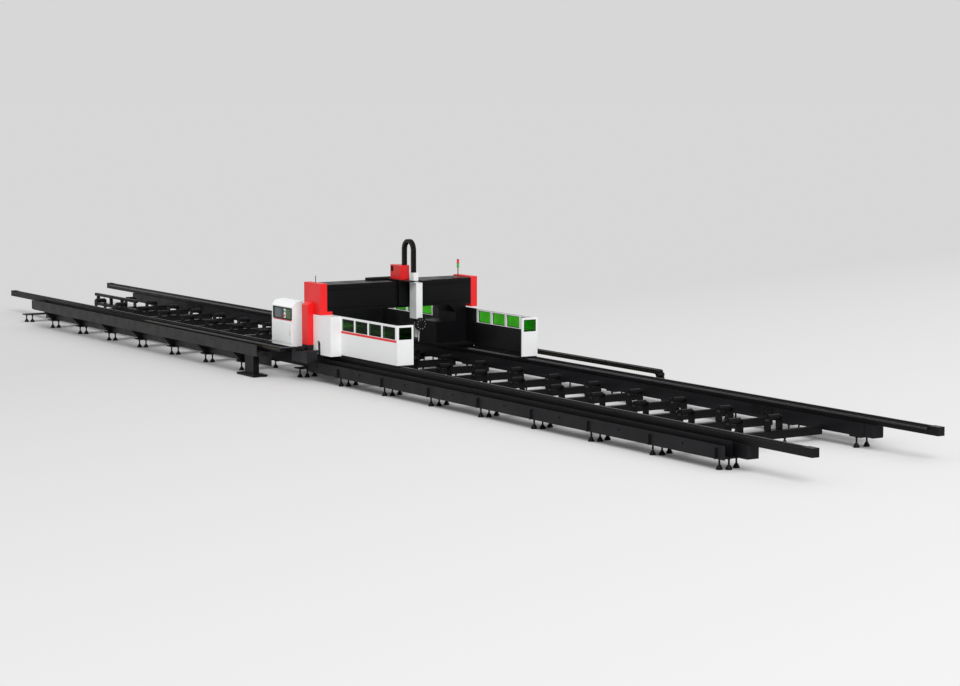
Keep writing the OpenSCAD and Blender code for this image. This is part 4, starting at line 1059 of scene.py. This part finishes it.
# %% Cover of the round housing
COVER = [(0.134, 0), (0.134, 0.004), (0.128, 0.006), (0.062, 0.006), (0.058, 0.012), (0.050, 0.014)]
COVER_FACE = 0.006
COVER_BOLTS, COVER_BOLT_RING, COVER_BOLT_WIDTH, COVER_BOLT_HEIGHT = 10, 0.110, 0.016, 0.007
DISC_RADIUS = 0.155
head_low, head_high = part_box("rotary_head")
disc_z, disc_y = head_low.z + DISC_RADIUS, middle("rotary_head").y
cover = shape("housing_cover", (add_turned, COVER, 32))
cover_bolt = shape("cover_bolt", hexagon_head(COVER_BOLT_WIDTH, COVER_BOLT_HEIGHT))
turn_x = (0.0, pi / 2, 0.0)
spots = [(head_high.x, disc_y, disc_z)]
fit_copies("head_cover", cover, head_black, spots, "rotary", turn_x)
turns = [2 * pi * i / COVER_BOLTS for i in range(COVER_BOLTS)]
spots = [(head_high.x + COVER_FACE, disc_y + COVER_BOLT_RING * cos(a), disc_z + COVER_BOLT_RING * sin(a))
         for a in turns]
fit_copies("head_cover_bolts", cover_bolt, silver_with_painted_reflection, spots, "rotary", turn_x)

# %% Lamp rings
RING_HALF, RING_PROUD = 0.004, 0.0015
lamp_low, lamp_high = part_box("green_lamp")
lamp = middle("green_lamp")
ring_radius = (lamp_high.x - lamp_low.x) / 2 + RING_PROUD
ring = shape("ring", (add_turned, [(ring_radius, -RING_HALF), (ring_radius, RING_HALF)], 24))
spots = [(lamp.x, lamp.y, z) for z in (lamp_low.z, lamp_high.z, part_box("red_lamp")[1].z - RING_HALF)]
fit_copies("lamp_rings", ring, gasket_rubber, spots, "gantry")

# %% [markdown]
# ## Conduits
# Where the near chain is towed, its lines pass from the bracket into the red duct. Four rigid conduits
# carry them. Each follows a path with two elbows, and a tree sweeps a round section along it.

# %% Sweep the conduits
ELBOW_STEPS, PIPE_SIDES = 6, 12
pipe_tree, entry, leave = new_tree(
    "pipe_on_a_path", ("Radius", "Float"), ("Elbow", "Float"), ("Finish", "Material"))
route = add_node(pipe_tree, "GeometryNodeMeshToCurve", {"Mesh": entry["Geometry"]}).outputs["Curve"]
elbows = pipe_tree.nodes.new("GeometryNodeFilletCurve")
elbows.mode = "POLY"
feed(elbows, {"Curve": route, "Radius": entry["Elbow"], "Count": ELBOW_STEPS})
section = add_node(pipe_tree, "GeometryNodeCurvePrimitiveCircle", {
    "Resolution": PIPE_SIDES, "Radius": entry["Radius"]})
swept = add_node(pipe_tree, "GeometryNodeCurveToMesh", {
    "Curve": elbows.outputs["Curve"], "Profile Curve": section.outputs["Curve"], "Fill Caps": True})
pipe_tree.links.new(finished(pipe_tree, swept.outputs["Mesh"], entry["Finish"]), leave)

# %% The four conduits
CONDUITS, CONDUIT_RADIUS, CONDUIT_ELBOW = 4, 0.022, 0.05
CONDUIT_FIRST, CONDUIT_STEP = 0.045, 0.064
BRACKET_TOP, BRACKET_SUNK, CROSSING = 0.70, 0.01, 0.085
BRACKET_Y, BRACKET_STEP, DUCT_Y, DUCT_IN = -2.47, 0.02, -2.235, 0.02

duct_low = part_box("cable_duct")[0]
points, edges = [], []
for i in range(CONDUITS):
    x, y = duct_low.x + CONDUIT_FIRST + CONDUIT_STEP * i, BRACKET_Y + BRACKET_STEP * i
    edges += [(len(points) + j, len(points) + j + 1) for j in range(3)]
    points += [(x, y, BRACKET_TOP - BRACKET_SUNK), (x, y, BRACKET_TOP + CROSSING),
               (x, DUCT_Y, BRACKET_TOP + CROSSING), (x, DUCT_Y, duct_low.z + DUCT_IN)]
values = {"Radius": CONDUIT_RADIUS, "Elbow": CONDUIT_ELBOW, "Finish": chain_plastic}
conduits = grow("tow_conduits", pipe_tree, values, points, edges)
for face in conduits.data.polygons:
    face.use_smooth = True
fit(conduits, "gantry")

# %% [markdown]
# ## Light and floor
# A pale floor, an even sky and one wide soft sun from the front right, at a plain level: the faces that
# look along the bed are the brightest, as in the photograph. The floor pales towards the light. The sky has
# about the far floor's own tone, so no line parts the two.

# %% Floor
FLOOR_REACH = 900.0
FAR_TONE = 0.645
NEAR_TONE = 0.93
PALER_ALONG, PALER_ACROSS = 0.0070, 0.0027
PALER_FROM, PALER_TO = -0.05, 0.26
floor_mesh = bpy.data.meshes.new("floor")
corners = [(-1, -1), (1, -1), (1, 1), (-1, 1)]
floor_places = [(x * FLOOR_REACH, y * FLOOR_REACH, cad_box[0][2]) for x, y in corners]
floor_mesh.from_pydata(floor_places, [], [(0, 1, 2, 3)])
floor = add_object("floor", floor_mesh)
floor_finish, shader, place = new_finish("pale_floor")
lengthways = combine("MULTIPLY", axis_of(place, "X"), PALER_ALONG)
crossways = combine("MULTIPLY", axis_of(place, "Y"), PALER_ACROSS)
paler = combine("ADD", lengthways, crossways)
towards_light = spread(paler, 0, 1, PALER_FROM, PALER_TO)
floor_tone = blend_colours(towards_light, (FAR_TONE,) * 3, (NEAR_TONE,) * 3)
feed(shader, {"Base Color": floor_tone, "Roughness": 0.9, "Specular IOR Level": 0.0})
floor_mesh.materials.append(floor_finish)

# %% World and sun
SKY = 0.68
SUN_STRENGTH = 1.85
SUN_WIDTH = radians(35)
SUN_TILT, SUN_ROUND = radians(50.2), radians(71)
world = bpy.data.worlds.new("studio")
world.use_nodes = True
feed(world.node_tree.nodes["Background"], {"Color": (SKY, SKY, SKY, 1)})
bpy.context.scene.world = world

sun_data = bpy.data.lights.new("soft_sun", "SUN")
sun_data.energy = SUN_STRENGTH
sun_data.angle = SUN_WIDTH
sun = add_object("soft_sun", sun_data)
sun.rotation_euler = (SUN_TILT, 0, SUN_ROUND)
print("sky", SKY, "sun", SUN_STRENGTH)
